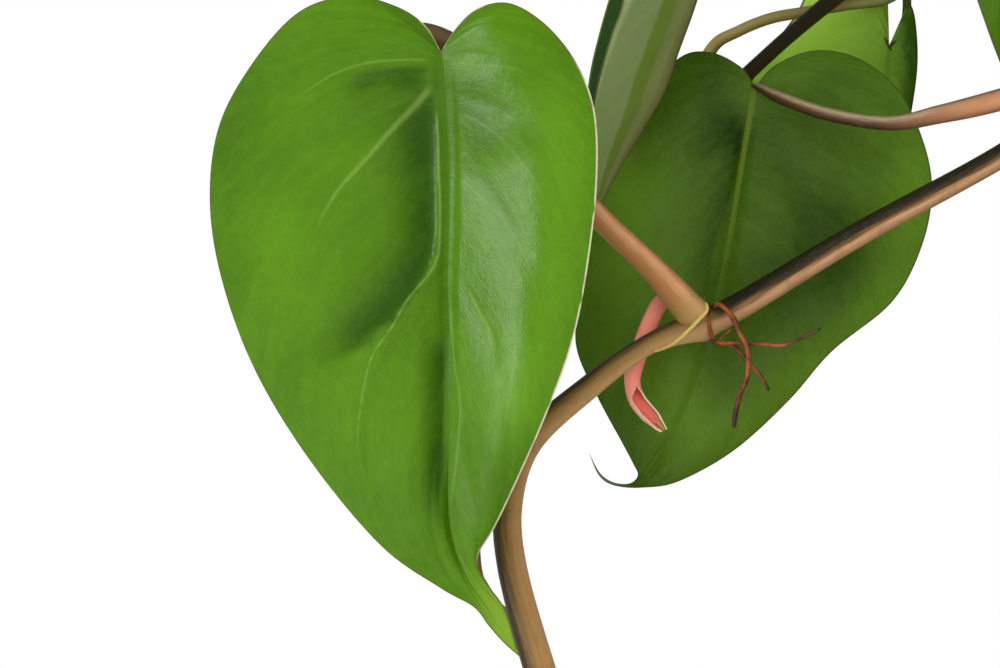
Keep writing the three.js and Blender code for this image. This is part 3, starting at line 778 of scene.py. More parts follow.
@dataclass(frozen=True)
class StemFinish(Finish):
    """Smooth skin of a stem or stalk, with colours from its lower side at 0 to its upper at 1."""

    skin: Stops
    later: Stops
    node: Colour
    node_share: float = 0.8
    roughness: float = 0.42
    gloss: float = 0.25
    depth: float = 0.12 * MM
    blot_share: float = 0.22
    thread_share: float = 0.1

    def compose(self, mix: Recipe) -> None:
        """Mixes the skin.

        Args:
            mix: The recipe.
        """
        along, around = mix.uv()
        turn = mix.times(around, math.tau)
        top, side = mix.math("COSINE", turn), mix.math("SINE", turn)
        blots = mix.noise(mix.place(), scale=260.0, detail=3.0)
        streaks = mix.noise(mix.vector(mix.times(along, 9.0), side, top), scale=5.0, detail=4.0)
        threads = mix.noise(mix.vector(mix.times(along, 30.0), side, top), scale=16.0)
        height = mix.scaled(top, 0.5, 0.5)
        height = mix.math("ADD", height, mix.scaled(streaks, 0.3, -0.15), clamp=True)
        early, late = mix.blend(height, self.skin), mix.blend(height, self.later)
        base = mix.mix(mix.painted("later"), early, late)
        blotted = mix.times(mix.rise(blots, 0.52, 0.75), self.blot_share)
        base = mix.mix(blotted, base, self.skin[-1][1])
        threaded = mix.times(mix.rise(threads, 0.55, 0.7), self.thread_share)
        base = mix.mix(threaded, base, self.skin[0][1])
        base = mix.mix(mix.times(mix.painted("node"), self.node_share), base, self.node)
        relief = mix.scaled(streaks, 0.7, mix.scaled(threads, 0.5, blots))
        rough = mix.scaled(blots, 0.16, self.roughness - 0.08)
        mix.finish(base, rough, mix.bump(relief, self.depth, strength=0.7), self.gloss)


@dataclass(frozen=True)
class BarkFinish(Finish):
    """Dry, rough skin of an aerial root or a crumb of soil."""

    dark: Colour
    light: Colour
    grain: float
    depth: float
    roughness: float = 0.85
    dark_end: float = 0.0
    end_tone: Colour = (0.01, 0.004, 0.002, 1.0)

    def compose(self, mix: Recipe) -> None:
        """Mixes the skin.

        Args:
            mix: The recipe.
        """
        coarse = mix.noise(mix.place(), self.grain, detail=4.0)
        fine = mix.noise(mix.place(), self.grain * 4, detail=3.0)
        base = mix.mix(mix.rise(coarse, 0.35, 0.65), self.dark, self.light)
        base = mix.mix(mix.times(mix.rise(fine, 0.5, 0.7), 0.4), base, self.dark)
        base = mix.mix(mix.times(mix.painted("later"), self.dark_end), base, self.end_tone)
        mix.finish(base, self.roughness, mix.bump(mix.scaled(fine, 0.5, coarse), self.depth, 0.9))


@dataclass(frozen=True)
class ClayFinish(Finish):
    """Unglazed clay with turning marks and a pale bloom of lime."""

    name: str = "Clay"
    clay: Colour = colour(168, 97, 66)
    dark: Colour = colour(135, 73, 50)
    lime: Colour = colour(194, 166, 145)
    marks_per_metre: float = 420.0
    lime_height: float = 0.035
    lime_share: float = 0.6
    grit_share: float = 0.35
    roughness: float = 0.88

    def compose(self, mix: Recipe) -> None:
        """Mixes the clay.

        Args:
            mix: The recipe.
        """
        place = mix.place()
        height = mix.node("SeparateXYZ", {0: place}).outputs[2]
        blots = mix.noise(place, scale=28.0, detail=5.0)
        grit = mix.noise(place, scale=900.0, detail=3.0)
        marks = mix.noise(mix.vector(0.0, 0.0, height), self.marks_per_metre)
        base = mix.mix(mix.rise(blots, 0.35, 0.65), self.dark, self.clay)
        low = mix.scaled(mix.fall(height, 0.0, self.lime_height), 0.7, 0.3)
        bloom = mix.times(low, mix.rise(blots, 0.48, 0.66))
        base = mix.mix(mix.times(bloom, self.lime_share), base, self.lime)
        base = mix.mix(mix.times(mix.rise(grit, 0.55, 0.75), self.grit_share), base, self.dark)
        relief = mix.scaled(marks, 0.8, mix.times(grit, 0.5))
        mix.finish(base, self.roughness, mix.bump(relief, depth=0.3 * MM, strength=0.6))


@dataclass(frozen=True)
class FloorFinish(Finish):
    """Even, pale finish of the floor."""

    name: str = "Pale floor"
    pale: Colour = (0.86, 0.86, 0.85, 1.0)
    grey: Colour = (0.8, 0.8, 0.8, 1.0)
    roughness: float = 0.9

    def compose(self, mix: Recipe) -> None:
        """Mixes the floor's finish.

        Args:
            mix: The recipe.
        """
        clouds = mix.noise(mix.place(), scale=3.0)
        base = mix.mix(mix.times(clouds, 0.04), self.pale, self.grey)
        mix.finish(base, self.roughness, mix.bump(clouds, depth=0.01 * MM, strength=0.1))


@dataclass(frozen=True)
class LeafFinish:
    """All of a leaf's finishes, and the record's slot that they belong to."""

    slot: MaterialSlot
    upper: BladeFinish
    under: UndersideFinish
    edge: EdgeFinish

    def dress(self, piece: Piece) -> None:
        """Gives a leaf its materials."""
        for place, finish in enumerate((self.upper, self.under, self.edge)):
            piece.data.materials[place] = finish.material()


CREAM_EDGE = EdgeFinish(
    "Leaf edge cream", left=colour(74, 88, 24), right=colour(188, 182, 152), notch=colour(176, 165, 134)
)
GREEN_EDGE = EdgeFinish("Leaf edge green", colour(72, 81, 34), colour(84, 97, 44), colour(122, 127, 77))
YOUNG_UPPER = BladeFinish(
    "Leaf young upper", deep=colour(56, 96, 8), bright=colour(86, 129, 21), vein=colour(122, 150, 74),
    midrib=colour(106, 130, 47), tip=colour(102, 135, 34), veins=HEART_VEINS, margin=GREEN_EDGE,
)
DEEP_UPPER = BladeFinish(
    "Leaf deep upper", deep=colour(26, 54, 5), bright=colour(51, 86, 18), vein=colour(79, 109, 46),
    midrib=colour(99, 116, 37), tip=colour(62, 94, 23), veins=HEART_VEINS, margin=GREEN_EDGE,
)
PALE_UPPER = BladeFinish(
    "Leaf pale upper", deep=colour(23, 51, 8), bright=colour(36, 67, 14), vein=colour(64, 89, 39),
    midrib=colour(77, 91, 37), tip=colour(47, 72, 23), veins=NARROW_VEINS, margin=GREEN_EDGE,
)
YOUNG_UNDER = UndersideFinish(
    "Leaf young underside",
    bands=tones((0, 129, 130, 74), (0.06, 97, 124, 52), (1, 107, 134, 67)),
    veins=HEART_VEINS,
)
DEEP_UNDER = UndersideFinish(
    "Leaf deep underside",
    bands=tones((0, 111, 109, 64), (0.06, 74, 99, 46), (1, 86, 109, 64)),
    veins=HEART_VEINS,
)
PALE_UNDER = UndersideFinish(
    "Leaf pale underside",
    bands=tones(
        # The dark brown band at the midrib is painted shade: the midrib's shadow
        (0, 72, 52, 34), (0.035, 102, 104, 56), (0.14, 122, 133, 77),
        (0.27, 120, 130, 72), (0.31, 102, 126, 46), (0.48, 106, 132, 50),
        (0.52, 130, 150, 90), (0.95, 136, 156, 96), (0.985, 158, 174, 114),
        (1, 166, 178, 124),
    ),
    veins=NARROW_VEINS, band_shift=0.45, vein_share=0.03,
)
TABLE_YOUNG_UNDER = replace(YOUNG_UNDER, name="Large leaf young underside", veins=TABLE_VEINS)
TABLE_DEEP_UNDER = replace(DEEP_UNDER, name="Large leaf deep underside", veins=TABLE_VEINS)
YOUNG_LEAF = LeafFinish(MaterialSlot.LEAF_YOUNG, YOUNG_UPPER, YOUNG_UNDER, GREEN_EDGE)
DEEP_LEAF = LeafFinish(MaterialSlot.LEAF_DEEP, DEEP_UPPER, DEEP_UNDER, GREEN_EDGE)
PALE_LEAF = LeafFinish(MaterialSlot.LEAF_PALE, PALE_UPPER, PALE_UNDER, GREEN_EDGE)
BACK_EDGE = EdgeFinish("Back leaf edge", colour(54, 70, 24), colour(60, 76, 26), colour(66, 72, 34))
BEHIND_EDGE = EdgeFinish("Behind leaf edge", colour(54, 66, 22), colour(58, 62, 26), colour(46, 38, 22))
# The front leaf's deep green is also the colour of the painted shade in its valleys
FRONT_LEAF = LeafFinish(
    MaterialSlot.LEAF_YOUNG,
    BladeFinish(
        "Front leaf upper", deep=colour(36, 70, 0), bright=colour(86, 132, 10), vein=colour(118, 144, 66),
        midrib=colour(58, 98, 12), tip=colour(104, 138, 28), veins=TABLE_VEINS, margin=CREAM_EDGE,
        margin_width=0.12, vein_share=0.03, midrib_share=0.4, midrib_width=1.7, roughness=0.24,
        tip_roughness=0.2, blisters=1.6,
    ),
    TABLE_YOUNG_UNDER,
    CREAM_EDGE,
)
BACK_LEAF = LeafFinish(
    MaterialSlot.LEAF_DEEP,
    BladeFinish(
        "Back leaf upper", deep=colour(26, 48, 1), bright=colour(88, 124, 30), vein=colour(100, 128, 48),
        midrib=colour(104, 124, 30), tip=colour(86, 126, 18), veins=TABLE_VEINS, margin=BACK_EDGE,
        vein_share=0.04, midrib_width=0.65, midrib_end=0.6, gloss=0.14, margin_width=0.1,
    ),
    TABLE_DEEP_UNDER,
    BACK_EDGE,
)
# Its bright green, reached on the left half, is painted light: light shining through the thin leaf
BEHIND_LEAF = LeafFinish(
    MaterialSlot.LEAF_YOUNG,
    BladeFinish(
        "Behind leaf upper", deep=colour(52, 88, 8), bright=colour(138, 184, 52), vein=colour(146, 186, 84),
        midrib=colour(84, 120, 30), tip=colour(90, 136, 34), veins=SHORT_TABLE_VEINS, margin=BEHIND_EDGE,
        vein_share=0.08,
    ),
    TABLE_YOUNG_UNDER,
    BEHIND_EDGE,
)

VINE_SKIN = StemFinish(
    "Vine skin",
    skin=tones(
        (0, 150, 128, 74), (0.2, 184, 142, 100), (0.46, 188, 144, 106),
        (0.6, 116, 80, 48), (0.72, 52, 38, 18), (0.84, 24, 20, 6),
        (1, 22, 20, 6),
    ),
    later=tones(
        (0, 206, 168, 110), (0.25, 190, 150, 98), (0.5, 166, 128, 76),
        (0.78, 134, 100, 52), (0.9, 98, 74, 38), (1, 48, 38, 18),
    ),
    node=colour(150, 124, 74),
    node_share=0.2,
)
# Back vine: near black behind the leaves, its own dark brown deepened as painted shade; pinkish brown later
SHADED_DARK_VINE_SKIN = StemFinish(
    "Dark vine skin",
    skin=tones((0, 60, 52, 24), (0.5, 40, 34, 14), (1, 30, 26, 14)),
    later=tones((0, 150, 92, 62), (0.5, 140, 84, 56), (1, 100, 62, 42)),
    node=colour(120, 104, 60),
)
GREEN_VINE_SKIN = StemFinish(
    "Green vine skin",
    skin=tones((0, 131, 116, 68), (0.5, 105, 85, 46), (1, 64, 50, 27)),
    later=tones((0, 112, 123, 57), (0.5, 98, 108, 48), (1, 73, 75, 34)),
    node=colour(140, 133, 78),
)
# Red stalk, with a painted highlight: the light stop at 0.65 is gloss along its upper middle
RED_STALK_SKIN_AND_HIGHLIGHT = StemFinish(
    "Red stalk skin",
    skin=tones(
        (0, 160, 112, 60), (0.3, 176, 120, 70), (0.5, 204, 149, 102),
        (0.65, 218, 162, 116), (0.82, 188, 134, 92), (1, 146, 118, 68),
    ),
    later=tones((0, 110, 90, 52), (0.6, 98, 80, 50), (1, 62, 50, 28)),
    node=colour(166, 148, 84),
    node_share=0.45,
)
SHEATH_STALK_SKIN_AND_HIGHLIGHT = StemFinish(
    "Sheath stalk skin",
    skin=tones(
        (0, 166, 114, 80), (0.3, 184, 130, 92), (0.55, 182, 128, 90),
        (0.85, 164, 116, 82), (1, 104, 80, 62),
    ),
    # The later part: dark brown, with a painted highlight in the pale grey stops near its upper side
    later=tones(
        (0, 40, 30, 8), (0.35, 56, 36, 14), (0.55, 72, 50, 28),
        (0.7, 112, 92, 68), (0.84, 144, 128, 102), (1, 110, 96, 66),
    ),
    node=colour(200, 130, 92),
)
OLIVE_STALK_SKIN = StemFinish(
    "Olive stalk skin",
    skin=tones((0, 96, 84, 36), (0.5, 114, 102, 38), (1, 136, 124, 70)),
    later=tones((0, 50, 76, 18), (0.5, 84, 104, 34), (1, 140, 150, 84)),
    node=colour(140, 140, 70),
)
GREEN_STALK_SKIN = StemFinish(
    "Green stalk skin",
    skin=tones((0, 123, 101, 57), (0.5, 112, 91, 50), (1, 84, 64, 36)),
    later=tones((0, 116, 128, 57), (0.5, 103, 121, 48), (1, 87, 103, 41)),
    node=colour(146, 137, 80),
)
PINK_SHEATH_SKIN = StemFinish(
    "Pink sheath skin",
    skin=tones((0, 255, 160, 138), (0.5, 255, 164, 142), (1, 250, 146, 128)),
    later=tones((0, 255, 196, 166), (0.5, 255, 174, 152), (1, 250, 208, 178)),
    node=colour(214, 150, 116),
)
SHEATH_INSIDE_SKIN = StemFinish(
    "Sheath inside skin",
    skin=tones((0, 232, 112, 98), (1, 222, 92, 84)),
    later=tones((0, 232, 112, 98), (1, 240, 144, 122)),
    node=colour(200, 90, 80),
)
SHEATH_EDGE_SKIN = StemFinish(
    "Sheath edge skin",
    skin=tones((0, 238, 190, 150), (1, 244, 206, 166)),
    later=tones((0, 236, 220, 180), (1, 240, 214, 176)),
    node=colour(240, 200, 160),
)
SCAR_SKIN = StemFinish(
    "Scar skin",
    skin=tones((0, 226, 204, 120), (1, 206, 188, 100)),
    later=tones((0, 210, 178, 112), (1, 190, 160, 96)),
    node=colour(220, 200, 116),
)
ROOT_SKIN = BarkFinish(
    "Aerial root skin", colour(66, 30, 10), colour(146, 76, 24), grain=380.0, depth=0.12 * MM, dark_end=0.75,
    roughness=0.6,
)
SOIL_SKIN = BarkFinish(
    "Soil", colour(30, 20, 13), colour(74, 52, 36), grain=320.0, depth=1.0 * MM, roughness=0.98
)
CRUMB_SKIN = BarkFinish(
    "Bark crumb", colour(58, 36, 22), colour(118, 82, 52), grain=420.0, depth=0.4 * MM
)
GRIT_SKIN = BarkFinish(
    "White grit", colour(190, 186, 174), colour(232, 230, 222), grain=500.0, depth=0.2 * MM
)


# Leaves


@dataclass(frozen=True)
class LeafFrame:
    """Where a leaf is held: its notch, and its directions to the right, the tip and upwards."""

    notch: Array
    right: Array
    along: Array
    normal: Array

    @classmethod
    def hanging(cls, notch: Point, azimuth: float, droop: float, roll: float = 0.0) -> "LeafFrame":
        """Holds a leaf by angles.

        Args:
            notch: The notch in mm.
            azimuth: The tip's direction in degrees.
            droop: How far the tip points down, in degrees.
            roll: How far the blade is turned about its length, in degrees.

        Returns:
            The frame.
        """
        turn, dip = math.radians(azimuth), math.radians(droop)
        outwards = np.array([math.cos(turn), math.sin(turn), 0.0])
        up = np.array([0.0, 0.0, 1.0])
        along = outwards * math.cos(dip) - up * math.sin(dip)
        normal = turned_about(outwards * math.sin(dip) + up * math.cos(dip), along, math.radians(roll))
        return cls(np.array(notch) * MM, np.cross(along, normal), along, normal)

    @classmethod
    def facing_front(cls, notch: Point) -> "LeafFrame":
        """Holds a leaf upright with its upper face to the front."""
        right, along, normal = np.array([[1.0, 0, 0], [0, 0, -1.0], [0, -1.0, 0]])
        return cls(np.array(notch) * MM, right, along, normal)

    def world(self, local: Array) -> Array:
        """Turns places in the leaf's own frame into places in the row frame."""
        axes = np.stack([self.right, self.along, self.normal])
        return self.notch + local @ axes


# Steps in which a line on a blade is measured, and in which a swell is listed
LINE_STEPS = 90
SWELL_STEPS = 8


def beside_line(points: Route, places: Array) -> tuple[Array, Array]:
    """Measures places on a blade from a smooth line on it.

    Args:
        points: The line's points, right and along, in mm.
        places: The places, right and along, in mm.

    Returns:
        How far to the left of the line they lie, and how far along it from 0 to 1.
    """
    line = smooth(points, np.linspace(0, len(points) - 1, LINE_STEPS + 1))
    distance = np.linalg.norm(places[:, None, :] - line[None, :, :], axis=-1)
    nearest = distance.argmin(axis=1)
    heading = unit(np.gradient(line, axis=0))[nearest]
    offset = places - line[nearest]
    beside = heading[:, 0] * offset[:, 1] - heading[:, 1] * offset[:, 0]
    past_end = (nearest == 0) | (nearest == LINE_STEPS)
    beside = np.where(past_end, np.copysign(np.linalg.norm(offset, axis=1), beside), beside)
    return beside, nearest / LINE_STEPS


@dataclass(frozen=True)
class Fold:
    """A valley or ridge along a line on a blade, or a band of painted light or shade along it, in mm of the
    leaf's own frame.
    """

    points: Route
    height: float
    left_width: float
    right_width: float

    # Shares of the line where the fold rises at its start and sinks at its end
    ENDS = (0, 0.18, 0.72, 1)

    def heights(self, places: Array) -> Array:
        """Gives the fold's height, or the strength of its painted light or shade.

        Args:
            places: Places on the blade, right and along, in mm.

        Returns:
            One number for each place.
        """
        beside, share = beside_line(self.points, places)
        width = np.where(beside > 0, self.left_width, self.right_width)
        return self.height * plateau(share, *self.ENDS) * bell(beside, width)


@dataclass(frozen=True)
class PaleLine:
    """A pale line on a blade, with its half width at its start and its end, in mm: most are veins that stand
    out, some are painted highlights of gloss.
    """

    points: Route
    strength: float
    start_width: float = 0.3
    end_width: float = 0.22

    # Shares of the line where it begins and ends to show, and the millimetres beside it that fade
    ENDS = (0, 0.08, 0.75, 1)
    MARGIN = 0.5

    def read(self, places: Array) -> tuple[Array, Array]:
        """Finds places beside the line.

        Args:
            places: Places on the blade, right and along, in mm.

        Returns:
            How many half widths they lie off the line, and how strongly it shows there.
        """
        beside, share = beside_line(self.points, places)
        width = self.start_width + (self.end_width - self.start_width) * share
        near = 1 - ramp(np.abs(beside), PALE_LINE_REACH * width, PALE_LINE_REACH * width + self.MARGIN)
        return beside / width, self.strength * near * plateau(share, *self.ENDS)


@dataclass(frozen=True)
class HeartShape:
    """Heart-shaped blade, bent by its fold, cup, wave and arch."""

    length: float
    fold: float = 0.22
    cup: float = 0.35
    wave: float = 0.06
    arch: float = 0.36
    wave_per_rib: float = 1.9
    veins: VeinPlan = HEART_VEINS
    folds: tuple[Fold, ...] = ()
    painted_shading: tuple[Fold, ...] = ()
    lines: tuple[PaleLine, ...] = ()

    # Half the outline of a heart 1 long: out, along, and where the side vein starts
    OUTLINE = (
        (0, 0, 0), (0.06, -0.085, 0), (0.2, -0.1, 0), (0.325, 0.035, 0.05), (0.355, 0.22, 0.15),
        (0.29, 0.45, 0.32), (0.165, 0.68, 0.54), (0.045, 0.87, 0.78), (0, 1, 1),
    )

    def local(self, rib: Array, side: Array, out: Array, lift: Array) -> Array:
        """Places points of the blade in the leaf's own frame.

        Args:
            rib: Place from notch to tip, counted in outline points.
            side: 1 on the right half and -1 on the left.
            out: Place from midrib to edge, from 0 to 1.
            lift: Distance off the upper face, in metres.

        Returns:
            Right, along and height, in metres.
        """
        row = smooth(self.OUTLINE, rib)
        start = np.maximum(row[:, 2], 0)
        right = row[:, 0] * out
        along = start + (row[:, 1] - start) * out
        ripple = self.wave * np.sin(self.wave_per_rib * rib + side) * out**2 * right
        height = self.length * (self.fold * right - self.cup * right**2 + ripple) + lift
        radius = self.length / self.arch + height
        bend = self.arch * along
        forward = radius * np.sin(bend)
        up = radius * np.cos(bend) - self.length / self.arch
        return np.stack([side * right * self.length, forward, up], -1)


def hump(height: float) -> Point:
    """Lists the heights of an even swell from midrib to edge."""
    return tuple(height * math.sin(math.pi * i / SWELL_STEPS) for i in range(SWELL_STEPS + 1))


@dataclass(frozen=True)
class RibShape:
    """Blade through a table of ribs: left edge, start on the midrib, right edge, in mm.

    Each half swells by its own list of heights, evenly spaced from the midrib to the edge.
    """

    ribs: list[Route]
    left_swell: Point
    right_swell: Point
    veins: VeinPlan = TABLE_VEINS
    folds: tuple[Fold, ...] = ()
    painted_shading: tuple[Fold, ...] = ()
    lines: tuple[PaleLine, ...] = ()

    # Half a blade's width, in mm, from which it swells in full
    FULL_WIDTH = 14

    def local(self, rib: Array, side: Array, out: Array, lift: Array) -> Array:
        """Places points of the blade in the leaf's own frame.

        Args:
            rib: Place from notch to tip, counted in ribs.
            side: 1 on the right half and -1 on the left.
            out: Place from midrib to edge, from 0 to 1.
            lift: Distance off the upper face, in metres.

        Returns:
            Right, along and height, in metres.
        """
        rows = smooth(self.ribs, rib)
        left, middle, right = rows[:, 0], rows[:, 1], rows[:, 2]
        edge = np.where(side[:, None] > 0, right, left)
        points = middle + (edge - middle) * out[:, None]
        place = out * (len(self.left_swell) - 1)
        swell = np.where(side > 0, smooth(self.right_swell, place), smooth(self.left_swell, place))
        width = np.linalg.norm(edge - middle, axis=1)
        full = np.clip(width / self.FULL_WIDTH, 0, 1)
        points[:, 2] += swell * np.sin(np.pi * rib / (len(self.ribs) - 1)) * full
        points *= MM
        points[:, 2] += lift
        return points


@dataclass
class LeafPattern:
    """Flat closed blade in pattern space, modelled once and bent into each leaf.

    X runs along the ribs, Y from the left edge to the right one, and Z from the upper face at 0
    to the lower face at -1.
    """

    name: str
    columns: int
    rows: int
    crowding: float = 1.25

    def build(self) -> Piece:
        """Models the pattern.

        Returns:
            The pattern.
        """
        pattern = add_grid(self.name, self.columns, self.rows)
        corners = corners_of(pattern)
        corners[:, 1] = np.sign(corners[:, 1]) * np.abs(corners[:, 1]) ** self.crowding
        set_corners(pattern, corners)
        set_uv(pattern, (corners[:, :2] + 1) / 2)
        add_wall(pattern, 1.0)
        pattern.hide_render = True
        return pattern


@dataclass
class Leaf:
    """One leaf blade, fitted to its CAD node."""

    name: str
    shape: HeartShape | RibShape
    frame: LeafFrame
    finish: LeafFinish
    thickness: float = 0.45 * MM
    keel: float = 0.55 * MM
    keel_width: float = 0.9 * MM
    quilt: float = 0.28 * MM
    crease: float = 0.3 * MM
    groove: float = 0.35 * MM

    # Where the relief rises and sinks, from midrib to edge and from notch to tip
    ACROSS, ALONG, CREASE_WIDTH = (0.04, 0.25, 0.7, 1.0), (0.08, 0.2, 0.85, 0.97), 0.1
    # Where the midrib's groove is full past the notch, and where it and the keel fade
    GROOVE_FULL, GROOVE_FADE, GROOVE_SIDE = 8 * MM, (0.5, 0.75), (1.0 * MM, 2.0 * MM)
    KEEL_FADE = (0.55, 0.95)
    # Points of each edge, how far beside one its tangent holds, and places to measure at a time
    EDGE_POINTS, EDGE_RUN, BATCH = 101, 1 * MM, 4000
    FAR_OFF = 9.0

    def relief(self, rib: Array, out: Array, local: Array, reach: Array) -> Array:
        """Works out how the upper face swells between veins and sinks along them.

        Args:
            rib: Place from notch to tip, counted in ribs.
            out: Place from midrib to edge, from 0 to 1.
            local: The same places in the leaf's own frame, in metres.
            reach: Their distance from the midrib, in metres.

        Returns:
            Height to add, in metres.
        """
        phase = self.shape.veins.phase(rib, out)
        ribs = self.shape.veins.ribs
        inside = plateau(out, *self.ACROSS) * plateau(rib, *(ribs * share for share in self.ALONG))
        from_vein = np.abs(phase - np.round(phase))
        swell = self.quilt * inside * (0.5 - 0.5 * np.cos(2 * np.pi * phase))
        sunk = self.crease * inside * bell(from_vein, self.CREASE_WIDTH)
        past_notch = ramp(local[:, 1], 0.0, self.GROOVE_FULL) * (1 - ramp(rib / ribs, *self.GROOVE_FADE))
        sunk += self.groove * past_notch * (1 - ramp(reach, *self.GROOVE_SIDE))
        height = swell - sunk
        for fold in self.shape.folds:
            height += fold.heights(local[:, :2] / MM) * MM
        return height

    def from_edge(self, sheet: Array) -> Array:
        """Measures how far the sheet's places are from its edge.

        Args:
            sheet: Places on the smooth sheet, in the leaf's own frame, in metres.

        Returns:
            Their distances in metres.
        """
        ribs = np.linspace(0, self.shape.veins.ribs, self.EDGE_POINTS)
        zero = np.zeros(len(ribs))
        edges = [self.shape.local(ribs, zero + side, zero + 1, zero) for side in (-1.0, 1.0)]
        headings = np.concatenate([unit(np.gradient(edge, axis=0)) for edge in edges])
        edge = np.concatenate(edges)
        distance = np.empty(len(sheet))
        for start in range(0, len(sheet), self.BATCH):
            part = sheet[start:start + self.BATCH]
            apart = ((part**2).sum(axis=1)[:, None] + (edge**2).sum(axis=1)[None, :]) - 2 * part @ edge.T
            nearest = apart.argmin(axis=1)
            offset = part - edge[nearest]
            run = (offset * headings[nearest]).sum(axis=1)
            run = np.minimum(np.abs(run), self.EDGE_RUN)
            square = np.maximum((offset**2).sum(axis=1) - run**2, 0)
            distance[start:start + self.BATCH] = np.sqrt(square)
        return distance

    def mark(self, piece: Piece, sheet: Array) -> None:
        """Paints the painted light and shade of the green, the pale lines of veins and highlights, and the
        distance from the edge.

        Args:
            piece: The leaf.
            sheet: Its vertices on the smooth sheet, in the leaf's own frame, in metres.
        """
        places = sheet[:, :2] / MM
        paint(piece, "margin", self.from_edge(sheet) / MM)
        # Painted light and shade on the green, kept under shade for the upper face
        painted_shading = (shade.heights(places) for shade in self.shape.painted_shading)
        paint(piece, "shade", sum(painted_shading, np.zeros(1)))
        beside = np.full(len(sheet), self.FAR_OFF)
        share = np.zeros(len(sheet))
        for line in self.shape.lines:
            off, strength = line.read(places)
            nearer = np.abs(off) < np.abs(beside)
            beside = np.where(nearer, off, beside)
            share = np.where(nearer, strength, share)
        # Pale lines: single veins, and on the front leaf painted highlights of gloss
        paint(piece, "vein", beside)
        paint(piece, "vein_share", share)

    def build(self, pattern: Piece) -> None:
        """Bends a copy of the pattern into this leaf and hands it over.

        Args:
            pattern: The flat pattern to copy.
        """
        piece = copy_of(pattern, "Leaf_" + self.name.removeprefix("leaf_"))
        piece.hide_render = False
        flat = corners_of(piece)
        rib = (flat[:, 0] + 1) / 2 * self.shape.veins.ribs
        side = np.where(flat[:, 1] >= 0, 1.0, -1.0)
        out = np.abs(flat[:, 1])
        face = -flat[:, 2]
        zero = np.zeros(len(flat))
        sheet = self.shape.local(rib, side, out, zero)
        reach = np.linalg.norm(sheet - self.shape.local(rib, side, zero, zero), axis=1)
        height = self.relief(rib, out, sheet, reach)
        share = rib / self.shape.veins.ribs
        keel = self.keel * (1 - ramp(share, *self.KEEL_FADE)) * bell(reach, self.keel_width)
        lift = height - face * (self.thickness + keel)
        set_corners(piece, self.frame.world(self.shape.local(rib, side, out, lift)))
        # The relief is also read by the upper face as painted shade in sunk places
        paint(piece, "relief", height / MM)
        paint(piece, "reach", reach / MM)
        self.mark(piece, sheet)
        weld(piece, FINE_GAP)
        self.finish.dress(piece)
        shade(piece)
        hand_over(piece, self.name)


# Stems


